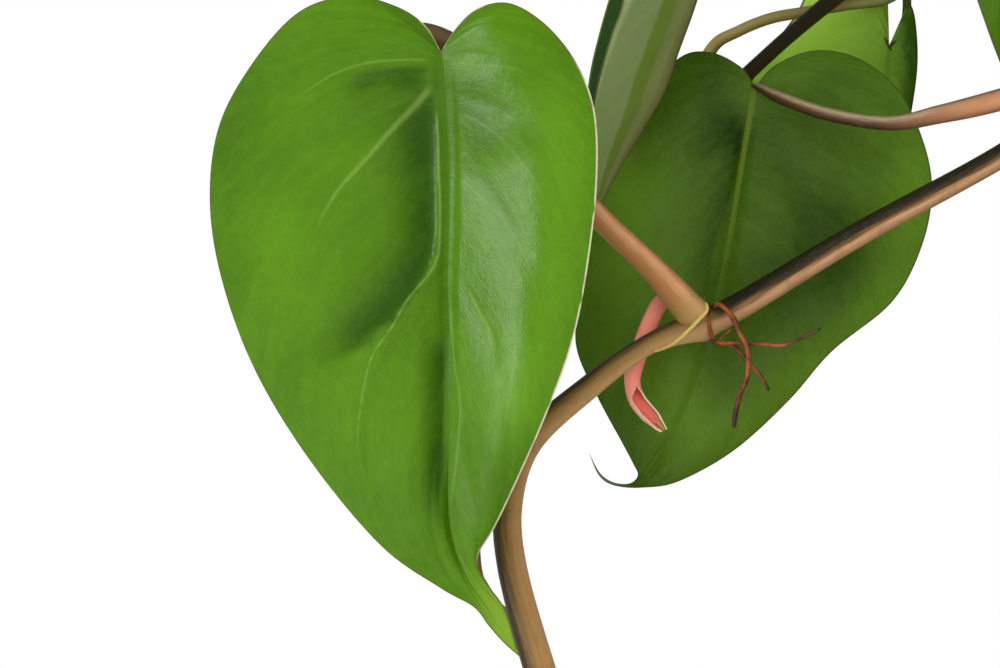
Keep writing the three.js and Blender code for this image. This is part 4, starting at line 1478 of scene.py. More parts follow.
@dataclass
class Stem:
    """Round stem, stalk or root along a route of x, y, z and radius in mm."""

    name: str
    route: Route
    finish: StemFinish | BarkFinish
    step: float = 0.5 * MM
    sides: int = 24
    nodes: list[float] = field(default_factory=list)
    node_swell: float = 0.35 * MM
    node_reach: float = 3.0 * MM
    later_from: float = 0.5
    later_to: float = 0.9
    roughen: float = 0.0
    top: Point | None = None

    # Steps from point to point, the fewest rings, and how high an upright heading points
    ROUTE_STEPS, FEWEST_RINGS, UPRIGHT = 24, 8, 0.8
    # A node's swell as a share of its reach, and the height and width of its ring
    NODE_WIDTH, NODE_RING, NODE_RING_WIDTH = 0.7, 0.22 * MM, 0.8 * MM
    SHORTEST_CAP = 0.3 * MM
    # Lengths of the waves on a rough skin, and of its even ends
    LONG_WAVE, SHORT_WAVE, EVEN_END = 1.7 * MM, 0.9 * MM, 2 * MM

    def frames(self) -> tuple[Array, ...]:
        """Spaces rings evenly along the route.

        Returns:
            The rings' centres, radii, distances from the start, headings and tops, and the
            places of the route's own points along it.
        """
        route = np.array(self.route, float)
        spans = len(route) - 1
        fine = np.linspace(0, spans, spans * self.ROUTE_STEPS + 1)
        line = smooth(route[:, :3], fine) * MM
        travelled = np.concatenate([[0], np.cumsum(np.linalg.norm(np.diff(line, axis=0), axis=1))])
        rings = max(self.FEWEST_RINGS, int(travelled[-1] / self.step))
        distance = np.linspace(0, travelled[-1], rings + 1)
        place = np.interp(distance, travelled, fine)
        centre = smooth(route[:, :3], place) * MM
        radius = smooth(route[:, 3], place) * MM
        heading = unit(np.gradient(centre, axis=0))
        stops = np.interp(np.arange(spans + 1), fine, travelled)
        return centre, radius, distance, heading, self.carried_top(centre, heading), stops

    def carried_top(self, centre: Array, heading: Array) -> Array:
        """Carries the direction of the stem's upper side along it without twist.

        Args:
            centre: The rings' centres.
            heading: The rings' headings.

        Returns:
            The direction of the upper side at each ring.
        """
        level = (centre[-1] - centre[0]) * (1, 1, 0)
        first = -level if abs(heading[0][2]) > self.UPRIGHT else np.array([0.0, 0.0, 1.0])
        current = np.array(self.top, float) if self.top else first
        tops = []
        for forward in heading:
            current = current - forward * forward.dot(current)
            current = current / np.linalg.norm(current)
            tops.append(current)
        return np.array(tops)

    def build(self) -> Piece:
        """Rolls a grid into the stem and closes it.

        Returns:
            The stem.
        """
        centre, radius, distance, heading, top, stops = self.frames()
        rings = len(centre) - 1
        total = distance[-1]
        near_node = np.zeros(rings + 1)
        for node in self.nodes:
            reach = distance - np.interp(node, np.arange(len(stops)), stops)
            radius = radius + self.node_swell * bell(reach, self.node_reach * self.NODE_WIDTH)
            radius = radius + self.NODE_RING * bell(reach, self.NODE_RING_WIDTH)
            near_node = np.maximum(near_node, bell(reach, self.node_reach))
        from_end = np.minimum(distance, total - distance)
        cap = np.maximum(radius, self.SHORTEST_CAP)
        radius = radius * np.sqrt(1 - (1 - np.clip(from_end / cap, 0, 1)) ** 2)

        piece = add_grid(self.name, rings, self.sides)
        flat = corners_of(piece)
        ring = np.rint((flat[:, 0] + 1) / 2 * rings).astype(int)
        around = (flat[:, 1] + 1) / 2
        turn = around * 2 * np.pi
        aside = np.cross(heading, top)
        reach = radius[ring]
        if self.roughen:
            long_wave = np.sin(distance[ring] / self.LONG_WAVE + 3 * np.sin(turn))
            wave = long_wave + np.sin(distance[ring] / self.SHORT_WAVE + turn)
            reach = reach + self.roughen * wave * np.clip(from_end[ring] / self.EVEN_END, 0, 1)
        spoke = around_ring(top[ring], aside[ring], turn)
        set_corners(piece, centre[ring] + spoke * reach[:, None])
        paint(piece, "node", near_node[ring])
        paint(piece, "later", ramp(distance[ring] / total, self.later_from, self.later_to))
        weld(piece)
        piece.data.materials.append(self.finish.material())
        shade(piece, 60)
        return piece


@dataclass(frozen=True)
class HeartStalk:
    """How a heart's stalk runs, in shares of its span and of the leaf, and in mm."""

    bow_at: float = 0.4
    bow: float = 0.16
    neck_back: float = 0.13
    neck_down: float = 0.1
    seat: Point = (0.5, -1.3)
    end: Point = (5.0, -1.1)
    radii: Point = (1.9, 1.5, 1.2, 1.1, 0.4)

    def route(self, start: Point, frame: LeafFrame, length: float) -> Route:
        """Finds the stalk's route.

        Args:
            start: Point of the stem, in mm.
            frame: The leaf's frame.
            length: The leaf's length in mm.

        Returns:
            The route, with the radius at each point.
        """
        base = np.array(start[:3])
        notch = frame.notch / MM
        rise = base + (notch - base) * self.bow_at
        rise[2] += self.bow * np.linalg.norm(notch - base)
        neck = notch - self.neck_back * length * frame.along - self.neck_down * length * frame.normal
        ends = [notch + along * frame.along + up * frame.normal for along, up in (self.seat, self.end)]
        return [(*point, radius) for point, radius in zip((base, rise, neck, *ends), self.radii)]


@dataclass
class Vine:
    """A stem with the stalks, roots and sheaths that grow on it, as one piece."""

    name: str
    stem: Stem
    limbs: list[Piece] = field(default_factory=list)
    leaves: list[Leaf] = field(default_factory=list)

    def add_heart(
        self, name: str, at: int, notch: Point, azimuth: float, droop: float, length: float,
        finish: LeafFinish, roll: float = 0.0, **form: float,
    ) -> None:
        """Grows a heart-shaped leaf with its stalk.

        Args:
            name: The leaf's node.
            at: Point of the stem's route that it grows from.
            notch: The leaf's notch in mm.
            azimuth: The tip's direction in degrees.
            droop: How far the tip points down, in degrees.
            length: The blade's length in mm.
            finish: The leaf's finishes.
            roll: How far the blade is turned about its length, in degrees.
            **form: What differs from the usual bends of a heart.
        """
        frame = LeafFrame.hanging(notch, azimuth, droop, roll)
        self.leaves.append(Leaf(name, HeartShape(length * MM, **form), frame, finish))
        self.add_stalk(name, at, frame, length)

    def add_stalk(self, name: str, at: int, frame: LeafFrame, length: float) -> None:
        """Grows the stalk of a leaf.

        Args:
            name: The leaf's node.
            at: Point of the stem's route that it grows from.
            frame: The leaf's frame.
            length: The blade's length in mm.
        """
        route = HeartStalk().route(self.stem.route[at], frame, length)
        stalk = Stem(f"{name}_stalk", route, GREEN_STALK_SKIN, step=1.2 * MM, sides=10, nodes=[0.08])
        self.limbs.append(stalk.build())
        self.stem.nodes.append(float(at))

    def build(self, pattern: Piece) -> None:
        """Builds the leaves, joins the rest and hands all of it over.

        Args:
            pattern: The leaves' flat pattern.
        """
        for leaf in self.leaves:
            leaf.build(pattern)
        whole = joined([self.stem.build(), *self.limbs], self.name.capitalize())
        hand_over(whole, self.name)


def green_stem(route: Route) -> Stem:
    """Plans the stem of a plain green vine."""
    return Stem("stem", route, GREEN_VINE_SKIN, step=1.2 * MM, sides=14)


@dataclass
class TrailingVines:
    """Vines that follow one rule, evenly spaced from the front round to the back."""

    count: int = 6
    first_azimuth: float = 249.0
    azimuth_step: float = 42.5
    seed: int = 4711
    sway: float = 3.0
    base_radius: float = 2.3
    tip_radius: float = 1.5
    bud_radius: float = 0.5

    # Where the sway sets in and how many points it takes, and its turn from point to point
    SWAY_FROM, SWAY_GROWTH, SWAY_TURN = 3, 4, 0.7
    # Degrees that a leaf turns for each millimetre aside, and how far each number may differ
    TURN_ASIDE = 0.5
    REACH_SPREAD, TURN_SPREAD, DROOP_SPREAD, ROLL_SPREAD, LENGTH_SPREAD = 2, 5, 3, 6, 0.06
    # Distance from the pot's axis and height of the route, in mm
    TRAIL = (
        (26, 90), (26, 105), (26, 118), (29, 134), (40, 148), (56, 152), (70, 144), (80, 126), (84, 102),
        (86, 78), (88, 53), (93, 29), (105, 11), (124, 3.2), (146, 3.2), (168, 3.2), (188, 3.2),
    )
    # Point of the route, reach, aside, height, droop, length and layer of each leaf
    TIERS = (
        (3, 42, -4, 196, 10, 70, 8), (5, 84, 11, 168, 32, 76, 4), (7, 106, -13, 127, 50, 82, 0),
        (10, 111, 14, 86, 52, 76, 0), (13, 146, -16, 36, 16, 62, 0),
    )

    def route(self, azimuth: float, sway: float) -> Route:
        """Finds the route of one vine, which sways a little from side to side.

        Args:
            azimuth: The vine's direction in degrees.
            sway: How far it sways, in mm.

        Returns:
            The stem's route.
        """
        last = len(self.TRAIL) - 1
        points = []
        for i, (reach, height) in enumerate(self.TRAIL):
            grown = max(0.0, min((i - self.SWAY_FROM) / self.SWAY_GROWTH, 1.0))
            aside = sway * math.sin(self.SWAY_TURN * i) * grown
            radius = self.base_radius + (self.tip_radius - self.base_radius) * i / last
            if i == last:
                radius = self.bud_radius
            points.append((*in_sector(azimuth, reach, aside, height), radius))
        return points

    def build(self, pattern: Piece) -> None:
        """Builds all the vines.

        Args:
            pattern: The leaves' flat pattern.
        """
        dice = Dice(self.seed)
        for number in range(self.count):
            azimuth = self.first_azimuth + self.azimuth_step * number
            route = self.route(azimuth, self.sway * dice.roll())
            vine = Vine(f"vine_{number + 1}", green_stem(route))
            for i, (at, reach, aside, height, droop, length, layer) in enumerate(self.TIERS):
                level = height + (layer if number % 2 else -layer)
                notch = in_sector(azimuth, reach + self.REACH_SPREAD * dice.roll(), aside, level)
                vine.add_heart(
                    f"leaf_{number + 1}_{i + 1}", at, notch,
                    azimuth=azimuth + self.TURN_SPREAD * dice.roll() + self.TURN_ASIDE * aside,
                    droop=droop + self.DROOP_SPREAD * dice.roll(),
                    roll=self.ROLL_SPREAD * dice.roll(),
                    length=length * (1 + self.LENGTH_SPREAD * dice.roll()),
                    finish=DEEP_LEAF if (i + number) % 3 else YOUNG_LEAF,
                )
            vine.build(pattern)


@dataclass
class MiddleVine:
    """Short upright vine in the middle, with a whorl of leaves."""

    leaf_count: int = 4
    first_azimuth: float = 30.0
    reach: float = 24.0
    height: float = 236.0
    layer: float = 5.0
    droop: float = 10.0
    length: float = 66.0
    first_point: int = 3

    ROUTE = (
        (2, 3, 90, 2.2), (2, 3, 105, 2.2), (2, 3, 118, 2.2), (3, 4, 136, 2.2), (1, 3, 156, 2.1),
        (3, 1, 178, 2), (1, 3, 200, 1.8), (2, 2, 218, 0.5),
    )

    def build(self, pattern: Piece) -> None:
        """Builds the vine and its leaves.

        Args:
            pattern: The leaves' flat pattern.
        """
        vine = Vine("vine_crown", green_stem(self.ROUTE))
        for i in range(self.leaf_count):
            azimuth = self.first_azimuth + 360 * i / self.leaf_count
            notch = in_sector(azimuth, self.reach, 0, self.height + self.layer * (i % 2))
            vine.add_heart(
                f"leaf_crown_{i + 1}", self.first_point + i, notch, azimuth, self.droop, self.length,
                finish=YOUNG_LEAF if i % 2 else DEEP_LEAF,
            )
        vine.build(pattern)


@dataclass
class FacingLeaves:
    """The leaves seen from the front, each from its table of ribs."""

    NARROW_FRAME = LeafFrame(
        notch=np.array((-124.5, -43.0, 196.0)) * MM,
        right=np.array((0, 1.0, 0)),
        along=np.array((0, 0, -1.0)),
        normal=np.array((-1.0, 0, 0)),
    )
    NARROW_LENGTH = 66.0

    # Each row: left edge, start on the midrib, right edge; each right, along, height in mm
    FRONT = [
        [(0, 0, 0)] * 3,
        [(-2.7, -4.5, -1), (0, 0, 0), (2.5, -4, -1)],
        [(-7.7, -7.7, -1.5), (0, 0, 0), (6.2, -7.3, -1.5)],
        [(-15.1, -9.3, -1.5), (0, 0, 0), (11.5, -8, -1.5)],
        [(-23.5, -6.7, -1.5), (0.4, 2.5, 0), (17.3, -4.5, -1)],
        [(-30.9, 1.3, -1.5), (0.7, 5.6, -0.3), (22.3, 1.7, -0.5)],
        [(-36.8, 12.1, -1.5), (1, 10.4, -1), (25.4, 9.6, 0)],
        [(-38.4, 24.6, -1.5), (1.4, 17.2, -1.7), (25.9, 20.5, 0)],
        [(-36.4, 37.9, -1.5), (1.4, 26.3, -2.3), (24.6, 33.8, 0)],
        [(-30.9, 52.9, -2), (1.2, 38, -2.6), (22.1, 47.1, 0)],
        [(-21.8, 67.9, -2.5), (1.4, 52, -2.4), (18.1, 58.7, -0.5)],
        [(-10.1, 82, -2.5), (1.2, 67, -2), (12.8, 70.9, -1)],
        [(-0.2, 89.1, -2), (1.4, 79, -1.5), (9.1, 78.7, -1)],
        [(5.4, 92.3, -1.5), (4.1, 87, -1), (6.1, 84.2, -1)],
        [(7.9, 95.4, -1), (7.2, 91.4, -0.5), (7.9, 88.6, -1)],
        [(10.4, 98.2, -0.5), (10, 95.6, -0.3), (10.8, 93, -0.5)],
        [(13, 100.5, 0)] * 3,
    ]
    BACK = [
        [(0, 0, 0)] * 3,
        [(-2.2, -3.3, -0.5), (0, 0, 0), (3.5, -3.8, -0.5)],
        [(-7.4, -6, -1), (0, 0, 0), (10.4, -6.4, -1.5)],
        [(-12.9, -5.2, -1.5), (0, 0, 0), (18.1, -5, -2.5)],
        [(-19, 1.7, -2), (-0.7, 4, -0.2), (25, 0.5, -3)],
        [(-27.2, 14.4, -2), (-1.6, 9.2, -0.4), (29.3, 9.5, -3)],
        [(-29.8, 26.8, -2), (-2.8, 16.5, -0.6), (30.7, 18.1, -2.5)],
        [(-30.8, 39, -2.5), (-4.3, 26, -0.8), (28.8, 27.6, -1.5)],
        [(-30.6, 45.8, -2), (-6.1, 35.5, -1), (23.6, 37.1, 0)],
        [(-26.9, 54, -1.5), (-8.5, 46, -1), (13.3, 45.6, -1)],
        [(-23, 61.2, -1), (-11.6, 54.5, -1), (6, 54, -2)],
        [(-21, 65, -1), (-15, 61.7, -1), (-3.4, 62.6, -2)],
        [(-20.2, 67, -1), (-18.1, 66.5, -1), (-13, 68, -1.5)],
        [(-21.6, 68.4, -1.2), (-21.2, 68.7, -0.5), (-19.4, 69.1, 0.3)],
        [(-24.4, 68.2, -0.8), (-24.4, 68.4, 0.5), (-24.3, 68.7, 1.6)],
        [(-26.8, 66.5, 1), (-26.9, 66.7, 2), (-27, 66.9, 3)],
        [(-28.8, 62.8, 3.5)] * 3,
    ]
    BEHIND = [
        [(0, 0, 0)] * 3,
        [(-1.2, -3.4, -0.5), (0, 0, 0), (2, -1.7, 0)],
        [(-0.3, -8.4, -1), (0, 0, 0), (2.9, -4.6, 0)],
        [(-4.8, -13.6, -2), (0, 0, 0), (3.4, -7.8, 0)],
        [(-12.3, -13.2, -3), (0, 1.6, -0.5), (4.6, -5, 0)],
        [(-16.6, -5.6, -3), (-0.4, 6, -1), (5.1, 2.6, -0.5)],
        [(-23.6, 4.2, -3), (-0.9, 12.2, -1), (4.2, 10.8, -1.5)],
        [(-26.5, 13.9, -3), (-1.8, 20.2, -1), (2, 22, -2)],
        [(-24, 27.2, -3), (-3, 29, -1), (-1.6, 34.3, -2)],
        [(-14.9, 40.7, -2), (-4.6, 38.8, -1), (-4.4, 42, -1.5)],
        [(-6.9, 48.7, -1)] * 3,
    ]
    NARROW = [
        [(0, 0, 0)] * 3,
        [(-3, -4.5, 1.5), (0, 0, 0), (3, -4, 1)],
        [(-10, -6.5, 6.5), (0, 0, 0), (9, -6, 4.5)],
        [(-15.5, -1, 13.5), (0, 0, 0), (14.5, -1.5, 10.5)],
        [(-18, 9, 18), (0, 4.5, 1.2), (17, 7.5, 15.5)],
        [(-18, 18, 19.5), (0, 11, 3.6), (16.5, 17, 19)],
        [(-17, 27, 19.9), (0, 18.5, 5.8), (15, 24.5, 21.5)],
        [(-16, 33.2, 22), (0, 26.5, 7.6), (13, 31.5, 23.5)],
        [(-14, 41, 24.2), (0.3, 34.6, 10.3), (11, 38.5, 25.1)],
        [(-10, 49, 25.5), (0.5, 42.5, 13.1), (8.5, 47.5, 26.1)],
        [(-5, 56.5, 25.8), (0.5, 52.4, 18.9), (5, 56, 26.3)],
        [(0.5, 64.5, 25.5)] * 3,
    ]
    FRONT_LEFT = (0, 1.4, 2.4, 2.9, 3.1, 3.1, 3, 2.8, 2.4)
    FRONT_RIGHT = (0, 1.2, 2.4, 3.6, 4.7, 5.4, 5.5, 5.2, 4.6)
    FRONT_FOLDS = (
        Fold(
            [(-1.6, 3), (-1.7, 12), (-1.6, 24), (-2, 33), (-5.5, 40.5), (-11, 46), (-17, 50), (-24, 53)],
            -1.05, 4.6, 0.8,
        ),
        Fold([(0.4, 46), (0.1, 58), (-0.1, 68), (-0.9, 80)], -0.7, 2.4, 0.8),
        Fold([(-2, 37), (-9, 47.5), (-13.4, 58), (-14.4, 65), (-12.5, 73)], 0.25, 1, 1),
        Fold([(-1, 3.4), (-7, 3.8), (-12, 4.8), (-17, 6.6)], -0.5, 0.7, 2.6),
        Fold([(-1.3, 5.8), (-4.6, 9.3), (-8.1, 12.9), (-12.9, 18.4), (-17.8, 24.1)], 0.3, 0.8, 1.6),
        Fold([(7, 2), (8, 8), (8.4, 14), (8, 22)], 0.2, 4, 4),
        Fold([(11, 12), (13, 22), (14, 34), (14, 46), (13, 56)], -0.55, 8, 12),
    )
    # Painted light and shade on the green, with some of the leaf's own tone: painted shade in the valleys and
    # near the notch, painted light on the outer halves
    FRONT_PAINTED_SHADING = (
        Fold(
            [(-1.3, 1), (-1.3, 12), (-1.2, 24), (-1.8, 33), (-5.5, 40.8), (-11, 46.5), (-17, 50.5),
             (-24, 54)],
            -0.38, 5.4, 0.5,
        ),
        Fold([(0.5, 44), (0.2, 58), (0.1, 68), (-0.9, 82)], -0.42, 2.6, 0.9),
        Fold([(-1, 3), (-7, 3), (-11, 3.6), (-17, 5.4)], -0.3, 0.5, 3.6),
        Fold([(18, 0), (21, 14), (20.5, 27), (17, 44), (12, 60), (8, 70)], 0.24, 5, 5),
        Fold([(-30, 20), (-27, 32), (-24, 42), (-20, 55), (-14, 66)], 0.12, 6, 7),
        Fold([(4.5, 2), (6, 8), (7, 14), (7.5, 20)], -0.18, 3.2, 3.2),
        Fold([(-30, -4), (-35, 8), (-37, 20), (-36, 36), (-30, 52)], -0.14, 5, 7),
    )
    # Pale lines: veins that stand out, and painted highlights of the gloss on the right half
    FRONT_VEINS_AND_HIGHLIGHTS = (
        PaleLine(
            [(-1.2, 1.4), (-6.8, 1.4), (-12, 1.9), (-17, 3.4), (-20.5, 5.4), (-26, 9)], 0.3, 0.26, 0.24
        ),
        PaleLine(
            [(-1.2, 5.4), (-4.6, 9.3), (-8.1, 12.9), (-12.9, 18.4), (-17.8, 24.1), (-23.4, 34.9)],
            0.45, 0.8, 0.25,
        ),
        PaleLine(
            [(-0.9, 9.5), (-0.6, 12.6), (-0.4, 15.8), (-0.2, 28.9), (-1, 35.2), (-5.6, 41.2), (-8.1, 45.6),
             (-11.6, 51), (-13.3, 58.6), (-13.8, 65.4), (-12.6, 72)],
            0.5, 0.26, 0.24,
        ),
        # Light line right of the midrib: partly vein, partly painted gloss
        PaleLine([(1.5, 42), (2.2, 51.6), (3.2, 58.6), (2.8, 65.4), (2.2, 70.9), (1, 78)], 0.3, 0.26, 0.3),
        # Painted highlight: a gloss streak on a facet of the right half
        PaleLine([(4.3, 39.2), (6.5, 43.5), (8, 46.5), (9.1, 51.6)], 0.4, 0.3, 0.6),
        PaleLine([(1.5, 2), (5.3, 2.3), (11.1, 2.7), (15, 4)], 0.2),
        PaleLine([(3.2, 10), (9.1, 13.8), (15.3, 21.2), (18, 28)], 0.16),
        # Vein with painted gloss along its edges
        PaleLine([(3.2, 21), (10.5, 28.2), (14.6, 35.7), (16.4, 43)], 0.18),
        PaleLine([(12.5, 48), (11.8, 54), (10.1, 65.4)], 0.15),
    )
    BACK_FOLDS = (
        Fold([(-1, 6), (-3, 18), (-6, 32), (-9, 44)], -0.4, 0.9, 0.9),
        Fold([(-2, 3), (-7, 9), (-12, 14)], -0.8, 3, 1),
        Fold([(3, 8), (9, 22), (12, 36)], -0.7, 3, 3),
        Fold([(-10.5, 42), (-12, 52), (-13.5, 64)], 1.9, 4.5, 4),
    )
    # Painted light and shade on the back leaf, with some of its own tone: lighter left half and edges, darker
    # beside the notch, along the midrib and over the right half
    BACK_PAINTED_SHADING = (
        Fold([(-5.5, -12), (-6.5, -2), (-7, 6), (-8, 16)], -0.25, 4, 5.5),
        Fold([(-2, 2), (-3.5, 14), (-7.5, 28), (-9, 42)], -0.3, 3, 0.8),
        Fold([(-24, 4), (-21, 18), (-20, 32), (-18, 46), (-15, 58), (-10, 70)], 0.46, 8, 9),
        Fold([(2, 0), (9, 12), (13, 26), (9, 44)], -0.24, 12, 9),
        Fold([(8, 18), (15, 26), (20, 30)], -0.1, 5, 5),
        Fold([(28, 2), (28.5, 16), (24, 32), (16, 44), (4, 54), (-8, 62), (-20, 66)], 0.4, 5, 8),
    )
    # Painted light on the left half, where light shines through the leaf, and painted shade on the right lobe
    BEHIND_PAINTED_SHADING = (
        Fold([(-4, -16), (-10, -8), (-15, 2), (-20, 16)], 0.5, 9, 9),
        Fold([(3, -9), (4, 0), (4, 12), (2, 26)], -0.5, 2.5, 2.5),
    )

    def build(self, pattern: Piece) -> None:
        """Builds the four leaves.

        Args:
            pattern: The flat, fine pattern of the large leaves.
        """
        fine_relief = {"quilt": 0.12 * MM, "crease": 0.12 * MM}
        front = RibShape(
            self.FRONT, self.FRONT_LEFT, self.FRONT_RIGHT, TABLE_VEINS, self.FRONT_FOLDS, self.FRONT_PAINTED_SHADING,
            self.FRONT_VEINS_AND_HIGHLIGHTS,
        )
        back = RibShape(self.BACK, hump(2), hump(2), TABLE_VEINS, self.BACK_FOLDS, self.BACK_PAINTED_SHADING)
        behind = RibShape(self.BEHIND, hump(1.5), hump(1.5), SHORT_TABLE_VEINS, (), self.BEHIND_PAINTED_SHADING)
        narrow = RibShape(self.NARROW, hump(0), hump(0), NARROW_VEINS)
        at = LeafFrame.facing_front
        thin = {"thickness": 0.35 * MM, "keel": 0.15 * MM, "quilt": 0.05 * MM, "crease": 0.05 * MM}
        for leaf in (
            Leaf("leaf_front", front, at((-174.8, -71, 159.9)), FRONT_LEAF, groove=0.3 * MM, **fine_relief),
            Leaf("leaf_back", back, at((-121, -28, 155.6)), BACK_LEAF, groove=0.2 * MM, **fine_relief),
            Leaf("leaf_behind", behind, at((-95.8, 8, 164.2)), BEHIND_LEAF, **fine_relief),
            Leaf("leaf_narrow", narrow, self.NARROW_FRAME, PALE_LEAF, **thin),
        ):
            leaf.build(pattern)


@dataclass
class TornSheath:
    """Pink sheath of a leaf that has opened: a tube torn open at its end, red inside."""

    route: Route
    open_share: float = 0.42
    open_from: float = 0.7
    open_to: float = 0.82
    facing: float = -0.95
    thickness: float = 0.3 * MM
    sides: int = 28

    # Depth of the tears and radians of their coarse and fine waves, and where the skin dries
    TEAR_SHARE, COARSE_TEARS, FINE_TEARS, DRYING = 0.12, 23, 47, (0.7, 0.95)
    FRAY_SHARE, FRAY_LENGTH = 0.06, 0.5 * MM

    def build(self) -> Piece:
        """Rolls a grid into a tube with a torn end and gives it a wall.

        Returns:
            The sheath.
        """
        guide = Stem("guide", self.route, PINK_SHEATH_SKIN, step=0.3 * MM, top=(0.0, -1.0, 0.0))
        centre, radius, distance, heading, top, _ = guide.frames()
        rings = len(centre) - 1
        piece = add_grid("Torn sheath", rings, self.sides)
        flat = corners_of(piece)
        around = (flat[:, 1] + 1) / 2
        share = (flat[:, 0] + 1) / 2
        torn = 0.5 + 0.3 * np.sin(around * self.COARSE_TEARS + 1) + 0.2 * np.cos(around * self.FINE_TEARS)
        place = share * rings * (1 - self.TEAR_SHARE * torn * ramp(share, self.open_from, 1))
        low = np.clip(np.floor(place), 0, rings - 1).astype(int)
        part = (place - low)[:, None]
        frayed = 1 + self.FRAY_SHARE * np.sin(distance[low] / self.FRAY_LENGTH)
        mouth = self.open_share * np.pi * ramp(share, self.open_from, self.open_to) * frayed
        turn = self.facing + mouth + around * (2 * np.pi - 2 * mouth)
        aside = np.cross(heading, top)
        spoke = around_ring(top[low], aside[low], turn)
        middle = centre[low] * (1 - part) + centre[low + 1] * part
        set_corners(piece, middle + spoke * radius[low][:, None])
        paint(piece, "node", 0.0)
        paint(piece, "later", ramp(share, *self.DRYING))
        weld(piece, FINE_GAP)
        add_wall(piece, self.thickness)
        for slot, finish in enumerate((PINK_SHEATH_SKIN, SHEATH_INSIDE_SKIN, SHEATH_EDGE_SKIN)):
            piece.data.materials[slot] = finish.material()
        shade(piece, 60)
        return piece


